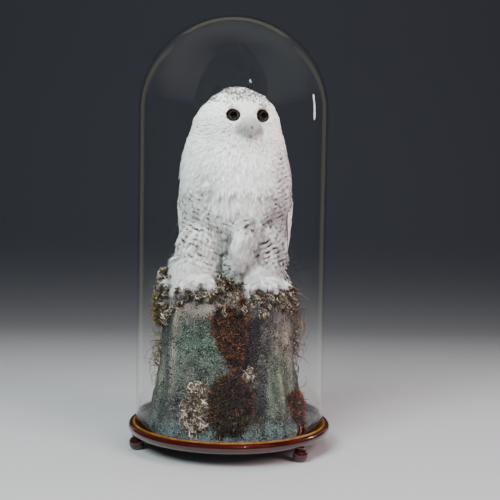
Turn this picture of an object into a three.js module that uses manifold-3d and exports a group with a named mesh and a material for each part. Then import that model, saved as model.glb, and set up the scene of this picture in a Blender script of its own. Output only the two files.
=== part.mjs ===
// A snowy owl, stuffed and set up on a stump of modelled rockwork, on a turned base with three
// bun feet, under a round glass dome. Millimetres, +Z up. The origin is on the dome's axis, at the
// level that the bun feet stand on. The owl faces -Y and turns its head to its own left, towards
// +X. Left and right in the names are the owl's own.
import * as THREE from 'three';
import { mergeVertices } from 'three/addons/utils/BufferGeometryUtils.js';
import Module from 'manifold-3d';

const wasm = await Module();
wasm.setup();

// ---------------------------------------------------------------- driving dimensions

const GAP = 0.3; // clearance between neighbouring pieces

const FEET = { count: 3, radius: 16.5, circle: 205, height: 31.3, flat: 9, firstAzimuth: -42.7 };
const BASE = { rim: 219.5, bead: 11.4, beadHeight: 43, top: 50, sides: 32 };
const DOME = { radius: 203, wall: 3, foot: 46.8, top: 924, sides: 32 };
const RING = { inner: 204.3, outer: 209.4, foot: 50.3, height: 4.2 };
const GROUND = { radius: 190, foot: 50.3, top: 57 };
const STUMP = { foot: 57.3, top: 335, sides: 30, levels: 8 };

const HEAD = {
  x: 8, y: -14, middle: 695, // the centre of the head
  width: 193, face: 72, nape: 84, crown: 76, jaw: 70,
  turn: 22, // degrees that the head is turned to the owl's left
};
const EYE = { radius: 12.5, apart: 64, forward: 56, height: 711, opening: 11.8 };
const BILL = { width: 15, root: 55, reach: 85, top: 693, tip: 665 };
const NECK = { top: 668, foot: 634, slope: 8 }; // the neck's two cuts, tilted about the X axis
const TOE = { radius: 24, height: 354 };
const CLAW = { radius: 4, length: 19 };

// ---------------------------------------------------------------- solids

// A closed geometry as a solid whose faces point out. Slivers with a repeated corner are left out.
function solidOf(geometry) {
  const bare = new THREE.BufferGeometry().setAttribute('position', geometry.getAttribute('position'));
  const merged = mergeVertices(bare.setIndex(geometry.index), 1e-3);
  const corners = Array.from(merged.index.array);
  const make = (order) => {
    const triVerts = [];
    for (let i = 0; i < corners.length; i += 3) {
      const triangle = order.map((k) => corners[i + k]);
      if (new Set(triangle).size === 3) triVerts.push(...triangle);
    }
    return new wasm.Manifold(new wasm.Mesh({
      numProp: 3,
      vertProperties: merged.attributes.position.array,
      triVerts: new Uint32Array(triVerts),
    }));
  };
  const solid = make([0, 1, 2]);
  return solid.volume() > 0 ? solid : make([0, 2, 1]);
}

// A closed skin over a grid: surface(along, around) gives a point, both running from 0 to 1.
// The first and last rings are closed by a fan round their middle.
function shell(surface, rings, sides) {
  const points = [];
  for (let i = 0; i <= rings; i++) {
    for (let j = 0; j < sides; j++) points.push(surface(i / rings, j / sides));
  }
  const middle = (ring) => points.slice(ring * sides, (ring + 1) * sides)
    .reduce((sum, point) => sum.add(point), new THREE.Vector3()).divideScalar(sides);
  const poles = [middle(0), middle(rings)];
  const [low, high] = [points.length, points.length + 1];
  points.push(...poles);
  const faces = [];
  for (let j = 0; j < sides; j++) {
    const next = (j + 1) % sides;
    for (let i = 0; i < rings; i++) {
      const [a, b] = [i * sides + j, i * sides + next];
      faces.push(a, b, b + sides, a, b + sides, a + sides);
    }
    faces.push(low, next, j, high, rings * sides + j, rings * sides + next);
  }
  return solidOf(new THREE.BufferGeometry().setFromPoints(points).setIndex(faces));
}

// A profile of [radius, height] pairs turned about the Z axis.
function turned(profile, sides) {
  const points = profile.map(([radius, height]) => new THREE.Vector2(radius, height));
  return solidOf(new THREE.LatheGeometry(points, sides).rotateX(Math.PI / 2));
}

// The [radius, height] pairs of an arc about [r, z], between two angles in degrees.
function arc(r, z, radius, from, to, steps) {
  return Array.from({ length: steps + 1 }, (_, i) => {
    const angle = THREE.MathUtils.degToRad(from + ((to - from) * i) / steps);
    return [r + radius * Math.cos(angle), z + radius * Math.sin(angle)];
  });
}

// An ellipsoid with semi-axes (x, y, z) about a centre, grown by a margin.
function egg(centre, axes, margin = 0, sides = 10) {
  const ball = new THREE.SphereGeometry(1, sides, Math.round(sides * 0.6)).rotateX(Math.PI / 2);
  ball.scale(...axes.map((axis) => axis + margin)).translate(...centre);
  return solidOf(ball);
}

const joined = (solids) => solids.reduce((whole, solid) => whole.add(solid));

// A solid less its neighbours, without the crumbs that the cuts leave.
function cut(solid, ...neighbours) {
  const rest = neighbours.reduce((whole, neighbour) => whole.subtract(neighbour), solid);
  return rest.decompose().sort((a, b) => b.volume() - a.volume())[0];
}

// ---------------------------------------------------------------- curves

// Smooth values between stations, which are rows of [place, value, value, ...] in rising order.
function track(rows) {
  const slope = (i, k) => {
    const [before, after] = [rows[Math.max(i - 1, 0)], rows[Math.min(i + 1, rows.length - 1)]];
    return (after[k] - before[k]) / (after[0] - before[0]);
  };
  return (place) => {
    const last = rows.length - 2;
    const i = THREE.MathUtils.clamp(rows.findIndex((row) => row[0] > place) - 1, 0, last);
    const found = place >= rows[last + 1][0] ? last : i;
    const step = rows[found + 1][0] - rows[found][0];
    const t = THREE.MathUtils.clamp((place - rows[found][0]) / step, 0, 1);
    return rows[found].slice(1).map((start, index) => {
      const k = index + 1;
      const end = rows[found + 1][k];
      const [out, into] = [slope(found, k) * step, slope(found + 1, k) * step];
      return start * (1 + 2 * t) * (1 - t) ** 2 + out * t * (1 - t) ** 2
        + end * t * t * (3 - 2 * t) + into * t * t * (t - 1);
    });
  };
}

// A point of a rounded outline whose four half-axes differ; power 2 is an ellipse, more is boxier.
function outline(around, { left, right, front, back }, power) {
  const angle = around * 2 * Math.PI;
  const [c, s] = [Math.cos(angle), Math.sin(angle)];
  const bend = (value) => Math.sign(value) * Math.abs(value) ** (2 / power);
  return [bend(c) * (c > 0 ? right : left), bend(s) * (s > 0 ? back : front)];
}

// A body that stands upright: stations are rows of [height, x, y, half width, front, back].
function upright(stations, rings, sides, margin = 0, power = 2.2) {
  const shape = track(stations);
  const [low, high] = [stations[0][0], stations[stations.length - 1][0]];
  return shell((along, around) => {
    const height = low + ((high - low) * (1 - Math.cos(Math.PI * along))) / 2;
    const [x, y, half, front, back] = shape(height);
    const wide = Math.max(half + margin, 1);
    const axes = { left: wide, right: wide, front: front + margin, back: back + margin };
    const [dx, dy] = outline(around, axes, power);
    return new THREE.Vector3(x + dx, y + dy, height + margin * (2 * along - 1));
  }, rings, sides);
}

// A blade or horn along a path: size(along) gives [half width, half thickness], outward(point) the
// way its broad side faces, and bend is how far that side curves round what it lies on.
function swept(path, size, outward, rings, sides, margin = 0, bend = 0) {
  const curve = new THREE.CatmullRomCurve3(path.map((point) => new THREE.Vector3(...point)));
  return shell((along, around) => {
    const centre = curve.getPoint(along);
    const run = curve.getTangent(along);
    const across = new THREE.Vector3().crossVectors(run, outward(centre)).normalize();
    const normal = new THREE.Vector3().crossVectors(across, run).normalize();
    const angle = around * 2 * Math.PI;
    const [half, thick] = size(along).map((value) => value + margin);
    const side = half * Math.cos(angle);
    return centre.addScaledVector(across, side)
      .addScaledVector(normal, thick * Math.sin(angle) - bend * side * side)
      .addScaledVector(run, margin * (2 * along - 1));
  }, rings, sides);
}

// ---------------------------------------------------------------- the mount

function woodBase() {
  const shelf = [BASE.rim - 9.7, BASE.top];
  const groove = [DOME.radius + 0.7, DOME.radius - DOME.wall - 0.7, DOME.foot - GAP];
  return turned([
    [0, BASE.beadHeight - BASE.bead],
    ...arc(BASE.rim - BASE.bead, BASE.beadHeight, BASE.bead, -90, 55, 6),
    [shelf[0], BASE.top + 2.3], shelf,
    [groove[0], BASE.top], [groove[0], groove[2]], [groove[1], groove[2]], [groove[1], BASE.top],
    [0, BASE.top],
  ], BASE.sides);
}

function domeRing() {
  const half = (RING.outer - RING.inner) / 2;
  const section = arc(0, 0, 1, 0, 180, 3)
    .map(([u, v]) => [RING.inner + half * (1 + u), RING.foot + RING.height * v]);
  return turned([...section, section[0]], BASE.sides);
}

function glassDome() {
  const spring = DOME.top - DOME.radius; // the height where the round top starts
  const inner = DOME.radius - DOME.wall;
  return turned([
    [DOME.radius, DOME.foot], ...arc(0, spring, DOME.radius, 0, 90, 5),
    ...arc(0, spring, inner, 90, 0, 5), [inner, DOME.foot], [DOME.radius, DOME.foot],
  ], DOME.sides);
}

function bunFoot(index) {
  const azimuth = THREE.MathUtils.degToRad(FEET.firstAzimuth + (360 / FEET.count) * index);
  const middle = FEET.height * 0.45;
  const belly = arc(0, 0, 1, -62, 56, 4)
    .map(([u, v]) => [FEET.radius * u, middle + (middle / Math.sin(Math.PI / 2.9)) * v]);
  const profile = [[0, 0], [FEET.flat, 0], ...belly.slice(1), [10, FEET.height], [0, FEET.height]];
  return turned(profile, 12)
    .translate([FEET.circle * Math.cos(azimuth), FEET.circle * Math.sin(azimuth), 0]);
}

function groundwork() {
  return turned([
    [0, GROUND.foot], [GROUND.radius, GROUND.foot], [GROUND.radius + 1, GROUND.foot + 3],
    [GROUND.radius - 4, GROUND.top], [0, GROUND.top],
  ], BASE.sides);
}

// The stump spreads at its foot, and its sides are drawn into folds.
function stumpBody(margin) {
  const shape = track([ // height, left, right, front, back
    [57, 180, 178, 178, 172],
    [72, 172, 163, 165, 152],
    [100, 168, 154, 156, 140],
    [150, 157, 144, 141, 128],
    [210, 150, 134, 128, 117],
    [270, 152, 132, 121, 107],
    [320, 157, 134, 119, 99],
    [335, 151, 129, 113, 93],
  ]);
  const folds = (angle, height) => 0.026 * Math.sin(5 * angle + 0.8)
    + 0.016 * Math.sin(9 * angle + 2.1 + height / 90) + 0.008 * Math.sin(17 * angle - height / 60);
  return shell((along, around) => {
    const height = THREE.MathUtils.lerp(STUMP.foot - margin, STUMP.top + margin, along ** 1.4);
    const [left, right, front, back] = shape(height).map((value) => value + margin);
    const swell = 1 + folds(around * 2 * Math.PI, height);
    const [x, y] = outline(around, { left, right, front, back }, 2.3);
    return new THREE.Vector3(x * swell, y * swell, height);
  }, STUMP.levels, STUMP.sides);
}

// Moss fills the cleft between the stump's two lobes: a wedge, and a strip up to the rim.
function cleftMoss(margin) {
  const facing = () => new THREE.Vector3(0, -1, 0);
  const wedge = swept([[-8, -117, 312], [0, -120, 262], [13, -127, 196]],
    (along) => [34 * Math.sin(Math.PI * (0.16 + 0.78 * along ** 0.7)) ** 0.8, 11],
    facing, 5, 8, margin);
  const strip = swept([[25, -113, 331], [25, -115, 290], [22, -118, 240]],
    (along) => [5.5 + 2 * along, 9], facing, 3, 6, margin);
  return wedge.add(strip);
}

const MOUNDS = { // what grows on the stump: centre, semi-axes, and how far its foot is drawn down
  moss_mound: [[4, -148, 114], [46, 35, 62], 46],
  lichen_clump: [[-62, -146, 120], [33, 22, 46], 42],
  moss_low_left: [[137, -80, 104], [19, 17, 32], 32],
  moss_high_right: [[-146, -42, 298], [14, 28, 33], 0],
};

// A mound is an egg whose lower half is drawn down to the ground.
const mound = ([centre, axes, drop], margin = 0) => joined([
  egg(centre, axes, margin),
  egg([centre[0], centre[1], centre[2] - drop], axes, margin),
]).hull();

// The dark hollow where the cleft opens above the moss mound.
const hollow = () => egg([20, -132, 176], [19, 30, 38]);

// ---------------------------------------------------------------- the owl

const TORSO = [ // height, x, y, half width, front, back
  [396, 2, 6, 18, 16, 16],
  [412, 2, 6, 52, 44, 45],
  [440, 2, 5, 84, 70, 70],
  [480, 4, 4, 104, 88, 83],
  [530, 6, 2, 113, 102, 88],
  [580, 6, -2, 116, 105, 88],
  [620, 5, -5, 114, 96, 86],
  [655, 4, -9, 107, 82, 87],
  [680, 6, -12, 99, 73, 85],
  [716, 8, -14, 78, 52, 68],
];

// The long soft plume that hangs from the belly between the legs.
function plume(margin) {
  const path = [[26, -80, 520], [24, -90, 470], [26, -84, 425], [22, -78, 386]];
  return swept(path, (along) => [4 + 26 * (1 - along) ** 0.8, 3 + 15 * (1 - along)],
    () => new THREE.Vector3(0, -1, 0), 5, 8, margin);
}

const torso = (margin) => upright(TORSO, 11, 24, margin).add(plume(margin));

// The head is a flattened egg, turned to the owl's left; the bristles round the bill swell it.
function headShape() {
  const skull = shell((along, around) => {
    const rise = -Math.cos(Math.PI * along);
    const height = HEAD.middle + rise * (rise > 0 ? HEAD.crown : HEAD.jaw);
    const size = Math.max(Math.sin(Math.PI * along), 0.02) ** (rise > 0 ? 1.25 : 0.94);
    const half = (HEAD.width / 2) * size;
    const axes = { left: half, right: half, front: HEAD.face * size, back: HEAD.nape * size };
    const [x, y] = outline(around, axes, 2.35);
    return new THREE.Vector3(x, y, height);
  }, 9, 24);
  const bristles = egg([0, -66, 682], [25, 15, 17]);
  return onHead(skull.add(bristles));
}

// Turns a solid made round the origin into the head's place and bearing.
const onHead = (solid) => solid.rotate([0, 0, HEAD.turn]).translate([HEAD.x, HEAD.y, 0]);

const eyeBall = (side, margin = 0) => onHead(
  egg([(side * EYE.apart) / 2, -EYE.forward, EYE.height], [EYE.radius, EYE.radius, EYE.radius], margin, 12),
);

// The round opening in the face feathers that shows the front of an eye.
const socket = (side) => onHead(
  egg([(side * EYE.apart) / 2, -EYE.forward - 14, EYE.height], [EYE.opening, 14, EYE.opening], 0, 12),
);

function bill(margin = 0) {
  const path = [
    [0, -BILL.root, BILL.top - 2], [0, -BILL.reach + 10, BILL.top - 3],
    [0, -BILL.reach, BILL.top - 14], [0, -BILL.reach + 5, BILL.tip],
  ];
  const size = (along) => [(BILL.width / 2) * (1 - 0.86 * along ** 1.6), 9 * (1 - 0.85 * along ** 1.3)];
  const forward = () => new THREE.Vector3(0, -0.3, 1);
  return onHead(swept(path, size, forward, 5, 8, margin));
}

// A slab between two heights, tilted about the X axis, for parting the body.
function slab(from, to) {
  const block = new THREE.BoxGeometry(700, 700, to - from).translate(0, 0, (from + to) / 2);
  const middle = (NECK.top + NECK.foot) / 2;
  block.translate(0, 0, -middle).rotateX(THREE.MathUtils.degToRad(NECK.slope)).translate(0, 0, middle);
  return solidOf(block);
}

// A thigh and shank in their loose feathers, down to the ankle.
function leg(side, margin = 0) {
  const [x, half] = side < 0 ? [-63, 54] : [73, 44];
  return upright([ // height, x, y, half width, front, back
    [356, x, -38, half - 24, 30, 22],
    [372, x, -34, half - 9, 46, 36],
    [405, x, -28, half - 2, 56, 44],
    [440, x, -20, half, 64, 52],
    [478, x * 0.92, -14, half - 6, 66, 50],
    [510, x * 0.84, -8, half - 26, 46, 36],
  ], 6, 14, margin);
}

const TOES = { // the three forward toes' tips, and the hind toe's, by side
  '-1': [[-126, -76], [-88, -110], [-48, -104], [-66, 2]],
  1: [[104, -80], [76, -108], [46, -98], [74, 2]],
};
const ANKLE = { '-1': [-70, -48], 1: [71, -48] };

function toe(side, tip, margin) {
  const [x, y] = ANKLE[side];
  const path = [[x, y, 376], [(x + tip[0]) / 2, (y + tip[1]) / 2, 370], [...tip, TOE.height]];
  const size = (along) => {
    const round = Math.sqrt(1 - (1.1 * Math.max(along - 0.62, 0) / 0.42) ** 2);
    return [TOE.radius * (1.25 - 0.35 * along) * round, TOE.radius * (1.1 - 0.45 * along) * round];
  };
  return swept(path, size, () => new THREE.Vector3(0, 0, 1), 4, 7, margin);
}

const foot = (side, margin = 0) => joined(TOES[side].map((tip) => toe(side, tip, margin)));

// A claw grows from a toe's tip and curves down.
function claw(side, [tipX, tipY]) {
  const [x, y] = ANKLE[side];
  const ahead = new THREE.Vector3(tipX - x, tipY - y, 0).normalize();
  const at = (forward, height) => [tipX + ahead.x * forward, tipY + ahead.y * forward, height];
  const path = [
    at(-8, TOE.height + 5), at(CLAW.length * 0.3, TOE.height + 5),
    at(CLAW.length * 0.62, TOE.height - 3), at(CLAW.length * 0.7, TOE.height - 14),
  ];
  const size = (along) => [CLAW.radius * (1 - 0.88 * along), CLAW.radius * (1.1 - 0.95 * along)];
  return swept(path, size, () => new THREE.Vector3(0.01, 0, 1), 4, 5);
}

// A folded wing, from the shoulder round the flank to the tips crossed over the tail.
const outwards = (point) => new THREE.Vector3(point.x - 6, point.y - 5, 0);

function wing(side, margin = 0) {
  const path = [
    [60, -30, 645], [94, -36, 602], [106, -2, 540], [97, 42, 468],
    [75, 86, 392], [52, 126, 318], [30, 158, 256],
  ].map(([x, y, z]) => [6 + side * x, y, z]);
  const sizes = track([ // along, half width, half thickness
    [0, 16, 6], [0.16, 54, 13], [0.36, 74, 14], [0.58, 78, 13], [0.78, 58, 10], [0.93, 32, 7], [1, 9, 3],
  ]);
  return swept(path, sizes, outwards, 10, 12, margin, 0.004);
}

function tail(margin = 0) {
  const path = [[8, 66, 430], [8, 112, 348], [8, 138, 272], [8, 150, 214]];
  const sizes = track([[0, 44, 14], [0.5, 52, 9], [0.85, 58, 6], [1, 46, 4]]);
  return swept(path, sizes, () => new THREE.Vector3(0, 1, 0), 6, 10, margin, 0.001);
}

// ---------------------------------------------------------------- the pieces, parted

const SIDES = { right: -1, left: 1 };
const solids = {};

solids.wood_base = woodBase();
solids.dome_ring = domeRing();
solids.glass_dome = glassDome();
for (let i = 0; i < FEET.count; i++) solids[`bun_foot_${i + 1}`] = bunFoot(i);

solids.groundwork = groundwork();
solids.rock_stump = cut(stumpBody(0), cleftMoss(GAP), hollow());
solids.moss_cleft = cleftMoss(0);
const stumpRoom = stumpBody(GAP);
const groundRoom = solidOf(
  new THREE.BoxGeometry(900, 900, STUMP.foot).translate(0, 0, STUMP.foot / 2),
);
const mossRoom = mound(MOUNDS.moss_mound, GAP);
for (const [name, sizes] of Object.entries(MOUNDS)) {
  const near = name === 'lichen_clump' ? [mossRoom] : [];
  solids[name] = cut(mound(sizes), stumpRoom, groundRoom, ...near);
}

// The head, neck and trunk are one body, parted by two thin cuts.
const body = torso(0).add(headShape());
const between = (from, to) => body.intersect(slab(from + GAP / 2, to - GAP / 2));
const hollows = Object.values(SIDES).flatMap((side) => [eyeBall(side, GAP), socket(side)]);
solids.head = cut(between(NECK.top, NECK.top + 300), bill(GAP), ...hollows);
solids.neck = cut(between(NECK.foot, NECK.top), bill(GAP));
solids.trunk = between(NECK.foot - 400, NECK.foot);
solids.bill = bill();

const torsoRoom = torso(GAP);
solids.tail = cut(tail(), torsoRoom, stumpRoom);
for (const [name, side] of Object.entries(SIDES)) {
  solids[`eye_${name}`] = eyeBall(side);
  solids[`leg_${name}`] = cut(leg(side), torsoRoom);
  solids[`wing_${name}`] = cut(wing(side), torsoRoom, leg(side, GAP), tail(GAP), stumpRoom);
  solids[`foot_${name}`] = cut(foot(side), torsoRoom, leg(side, GAP), stumpRoom);
  const footRoom = foot(side, GAP);
  TOES[side].forEach((tip, i) => {
    solids[`claw_${name}_${i + 1}`] = cut(claw(side, tip), footRoom, stumpRoom);
  });
}

// ---------------------------------------------------------------- materials and the group

const FINISHES = { // colour, roughness, metalness
  plumage: ['#e9e8e4', 0.9, 0],
  eye: ['#15110e', 0.08, 0],
  horn: ['#1d1b1a', 0.35, 0],
  rock: ['#8f9a98', 0.95, 0],
  moss: ['#5f4a30', 1, 0],
  lichen: ['#b5a791', 1, 0],
  mahogany: ['#5b1f12', 0.18, 0],
  ochre: ['#a9783a', 0.5, 0],
  glass: ['#eef4f5', 0.03, 0],
};
const FINISH_OF = [ // the first pattern that a name matches gives its finish
  [/^eye/, 'eye'], [/^(bill|claw)/, 'horn'], [/^(rock|ground)/, 'rock'], [/^moss/, 'moss'],
  [/^lichen/, 'lichen'], [/^(wood|bun)/, 'mahogany'], [/^dome_ring/, 'ochre'], [/^glass/, 'glass'],
  [/./, 'plumage'],
];

function material(name) {
  const finish = FINISH_OF.find(([pattern]) => pattern.test(name))[1];
  const [color, roughness, metalness] = FINISHES[finish];
  const clear = finish === 'glass' ? { transparent: true, opacity: 0.2 } : {};
  return new THREE.MeshStandardMaterial({ color, roughness, metalness, ...clear });
}

function meshOf(name, solid) {
  const { numProp, numVert, vertProperties, triVerts } = solid.getMesh();
  const positions = new Float32Array(numVert * 3);
  for (let i = 0; i < numVert; i++) {
    positions.set(vertProperties.subarray(i * numProp, i * numProp + 3), i * 3);
  }
  const geometry = new THREE.BufferGeometry()
    .setAttribute('position', new THREE.BufferAttribute(positions, 3))
    .setIndex(new THREE.BufferAttribute(triVerts, 1));
  geometry.computeVertexNormals();
  const mesh = new THREE.Mesh(geometry, material(name));
  mesh.name = name;
  return mesh;
}

const group = new THREE.Group();
for (const [name, solid] of Object.entries(solids)) group.add(meshOf(name, solid));

export default group;
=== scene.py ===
# %% [markdown]
# # A stuffed snowy owl under a glass dome
#
# The real thing is a cabinet-maker's piece as much as a bird: a turned and polished base on three
# bun feet, a stump of papier-mache rockwork with dry moss and lichen, the owl itself, and a blown
# glass dome that keeps the dust off. The solid model already fixes every size and place, so this
# script only loads it and makes the surfaces: wood, paint, moss, feathers and glass.
#
# The first cell loads the frame.

import math

import bpy
import numpy as np
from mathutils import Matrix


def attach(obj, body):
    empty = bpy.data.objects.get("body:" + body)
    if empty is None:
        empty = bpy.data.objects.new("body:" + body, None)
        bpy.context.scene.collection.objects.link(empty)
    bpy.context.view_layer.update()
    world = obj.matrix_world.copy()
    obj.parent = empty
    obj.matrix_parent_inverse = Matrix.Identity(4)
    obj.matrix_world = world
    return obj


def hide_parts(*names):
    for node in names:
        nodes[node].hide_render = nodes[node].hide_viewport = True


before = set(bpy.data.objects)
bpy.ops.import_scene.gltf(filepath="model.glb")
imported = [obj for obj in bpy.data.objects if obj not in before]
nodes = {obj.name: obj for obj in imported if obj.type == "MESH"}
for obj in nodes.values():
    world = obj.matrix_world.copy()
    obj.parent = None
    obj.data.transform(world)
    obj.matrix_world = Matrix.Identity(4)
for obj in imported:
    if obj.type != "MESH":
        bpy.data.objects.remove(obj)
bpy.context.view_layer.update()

# %% [markdown]
# ## Arrays into meshes
#
# Every new surface below is worked out as whole numpy arrays and put into a mesh in one step. A
# mesh can carry more than points and faces: a UV map gives each point a place on a flat sheet, and
# an attribute gives it any number, such as how dark a marking is there. Both travel with the mesh,
# so a material can read them whatever the object does.

# %% Points and faces into a piece
MM = 0.001  # the tables below are in millimetres, the frame is in metres


def mesh_piece(name, points, faces, material, slot, uvs=None, fields=None, normals=None):
    """Makes a riding piece from points (n, 3) in metres and faces (m, 3) or (m, 4) of point numbers.

    uvs maps a UV map's name to (n, 2) places, and fields an attribute's name to (n,) numbers.
    """
    mesh = bpy.data.meshes.new(name)
    faces = np.ascontiguousarray(faces, np.int32)
    mesh.vertices.add(len(points))
    mesh.vertices.foreach_set("co", np.ascontiguousarray(points, np.float32).ravel())
    mesh.loops.add(faces.size)
    mesh.loops.foreach_set("vertex_index", faces.ravel())
    mesh.polygons.add(len(faces))
    mesh.polygons.foreach_set("loop_start", np.arange(0, faces.size, faces.shape[1], dtype=np.int32))
    mesh.update(calc_edges=True)
    mesh.polygons.foreach_set("use_smooth", np.ones(len(faces), bool))
    for label, places in (uvs or {}).items():
        layer = mesh.uv_layers.new(name=label)
        layer.uv.foreach_set("vector", np.ascontiguousarray(places[faces.ravel()], np.float32).ravel())
    for label, values in (fields or {}).items():
        attribute = mesh.attributes.new(label, "FLOAT", "POINT")
        attribute.data.foreach_set("value", np.ascontiguousarray(values, np.float32))
    if normals is not None:
        mesh.normals_split_custom_set_from_vertices(normals)
    mesh.materials.append(material)
    piece = bpy.data.objects.new(name, mesh)
    bpy.context.scene.collection.objects.link(piece)
    if slot:
        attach(piece, "root")
    print(f"{name}: {len(points)} points, {len(faces)} faces")
    return piece

# %% [markdown]
# Most shapes here are grids of points: a profile turned about an axis, a sheet that climbs a
# stump, a strip along a wing. The points are a formula, and the faces only count along rows and
# columns, so both can be worked out for the whole grid at once.

# %% Grids, lathes and smooth curves
def grid_faces(rows, columns, wrap=False):
    """Quads of a rows by columns grid of points; with wrap, the last column joins the first."""
    across = columns if wrap else columns - 1
    row, column = np.meshgrid(np.arange(rows - 1), np.arange(across), indexing="ij")
    here = row * columns + column
    beside = row * columns + (column + 1) % columns
    return np.stack([here, beside, beside + columns, here + columns], -1).reshape(-1, 4)


def triangles_of(quads):
    """Each quad as two triangles: all the first halves, then all the second ones."""
    return np.concatenate([quads[:, :3], quads[:, [0, 2, 3]]])


def copies(faces, count, size):
    """The faces of count copies of one mesh that has that many points."""
    return (np.arange(count)[:, None, None] * size + faces).reshape(-1, faces.shape[-1])


def welded(points, faces):
    """Joins points at one place and keeps the triangles that still have three corners."""
    _, first, same = np.unique(points.round(7), axis=0, return_index=True, return_inverse=True)
    faces = same.ravel()[faces]
    if faces.shape[1] == 4:
        faces = triangles_of(faces)
    whole = (faces != np.roll(faces, 1, axis=1)).all(1)
    return points[first], faces[whole]


def lathe(profile, sides):
    """Turns a profile of (radius, height) about Z: x = r cos a, y = r sin a, closed at the axis."""
    profile = np.asarray(profile, float)
    angle = np.linspace(0, 2 * math.pi, sides, endpoint=False)
    ring = np.stack([np.cos(angle), np.sin(angle)], -1)
    points = np.concatenate([
        profile[:, None, :1] * ring[None],
        np.broadcast_to(profile[:, None, 1:], (len(profile), sides, 1)),
    ], -1)
    return welded(points.reshape(-1, 3), grid_faces(len(profile), sides, wrap=True))


def curve_through(stations, places):
    """Smooth values at places between stations, rows of (place, value, ...), by cubic Hermite."""
    table = np.asarray(stations, float)
    at, values = table[:, 0], table[:, 1:]
    slopes = np.gradient(values, at, axis=0)
    places = np.clip(places, at[0], at[-1])
    i = np.clip(np.searchsorted(at, places, side="right") - 1, 0, len(at) - 2)
    step = (at[i + 1] - at[i])[..., None]
    t = (places - at[i])[..., None] / step
    start = values[i] * (1 + 2 * t) * (1 - t) ** 2 + slopes[i] * step * t * (1 - t) ** 2
    end = values[i + 1] * t * t * (3 - 2 * t) + slopes[i + 1] * step * t * t * (t - 1)
    return start + end

# %% [markdown]
# Nothing on a bird or a rock is quite even. The unevenness comes from noise, which is random
# numbers on a lattice, blended in between. Here they are hashed from the place itself, so that
# a place has the same number however often the script is run.

# %% Unit vectors and repeatable noise
def unit(vectors):
    """Vectors scaled to length one."""
    return vectors / np.maximum(np.linalg.norm(vectors, axis=-1, keepdims=True), 1e-9)


def hashed(cells, seed):
    """A repeatable random number from 0 to 1 for each row of whole numbers: the sine of a mix."""
    mixed = cells @ np.array([127.1, 311.7, 74.7]) + seed * 53.3
    return np.modf(np.abs(np.sin(mixed) * 43758.5453))[0]


def noise(points, size, seed):
    """Smooth noise from -1 to 1: hashed numbers on a lattice of that size, blended in between."""
    scaled = points / size
    low = np.floor(scaled)
    part = scaled - low
    part = part * part * (3 - 2 * part)
    total = 0.0
    for corner in np.ndindex(2, 2, 2):
        weight = np.prod(np.where(corner, part, 1 - part), axis=-1)
        total = total + weight * hashed(low + corner, seed)
    return 2 * total - 1


def rough(points, size, seed):
    """Noise summed over three octaves, each half the size and half the height of the one before."""
    return sum(noise(points, size / 2 ** k, seed + k) / 2 ** k for k in range(3))

# %% [markdown]
# ## Shader sums
#
# A procedural material is a formula, and a formula reads best when it is written as one. The small
# class below wraps a node's output so that `mask * 0.5 + 1` adds the Math nodes itself, and one
# method adds any other node by its type.

# %% One number in a shader
class Value:
    """A number in a shader tree: arithmetic on it adds Math nodes."""

    def __init__(self, tree, socket):
        self.tree, self.socket = tree, socket

    def math(self, operation, other=0.0, swap=False):
        """One Math node on this number and another; swap puts the other first."""
        pair = (other, self) if swap else (self, other)
        return self.tree.add("ShaderNodeMath", {0: pair[0], 1: pair[1]}, operation=operation)

    def __add__(self, other):
        return self.math("ADD", other)

    def __sub__(self, other):
        return self.math("SUBTRACT", other)

    def __rsub__(self, other):
        return self.math("SUBTRACT", other, swap=True)

    def __mul__(self, other):
        return self.math("MULTIPLY", other)

    __radd__, __rmul__ = __add__, __mul__

    def within(self, low, high):
        """0 below low, 1 above high, and smooth in between."""
        inputs = {"Value": self, "From Min": low, "From Max": high}
        return self.tree.add("ShaderNodeMapRange", inputs, interpolation_type="SMOOTHSTEP")

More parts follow.
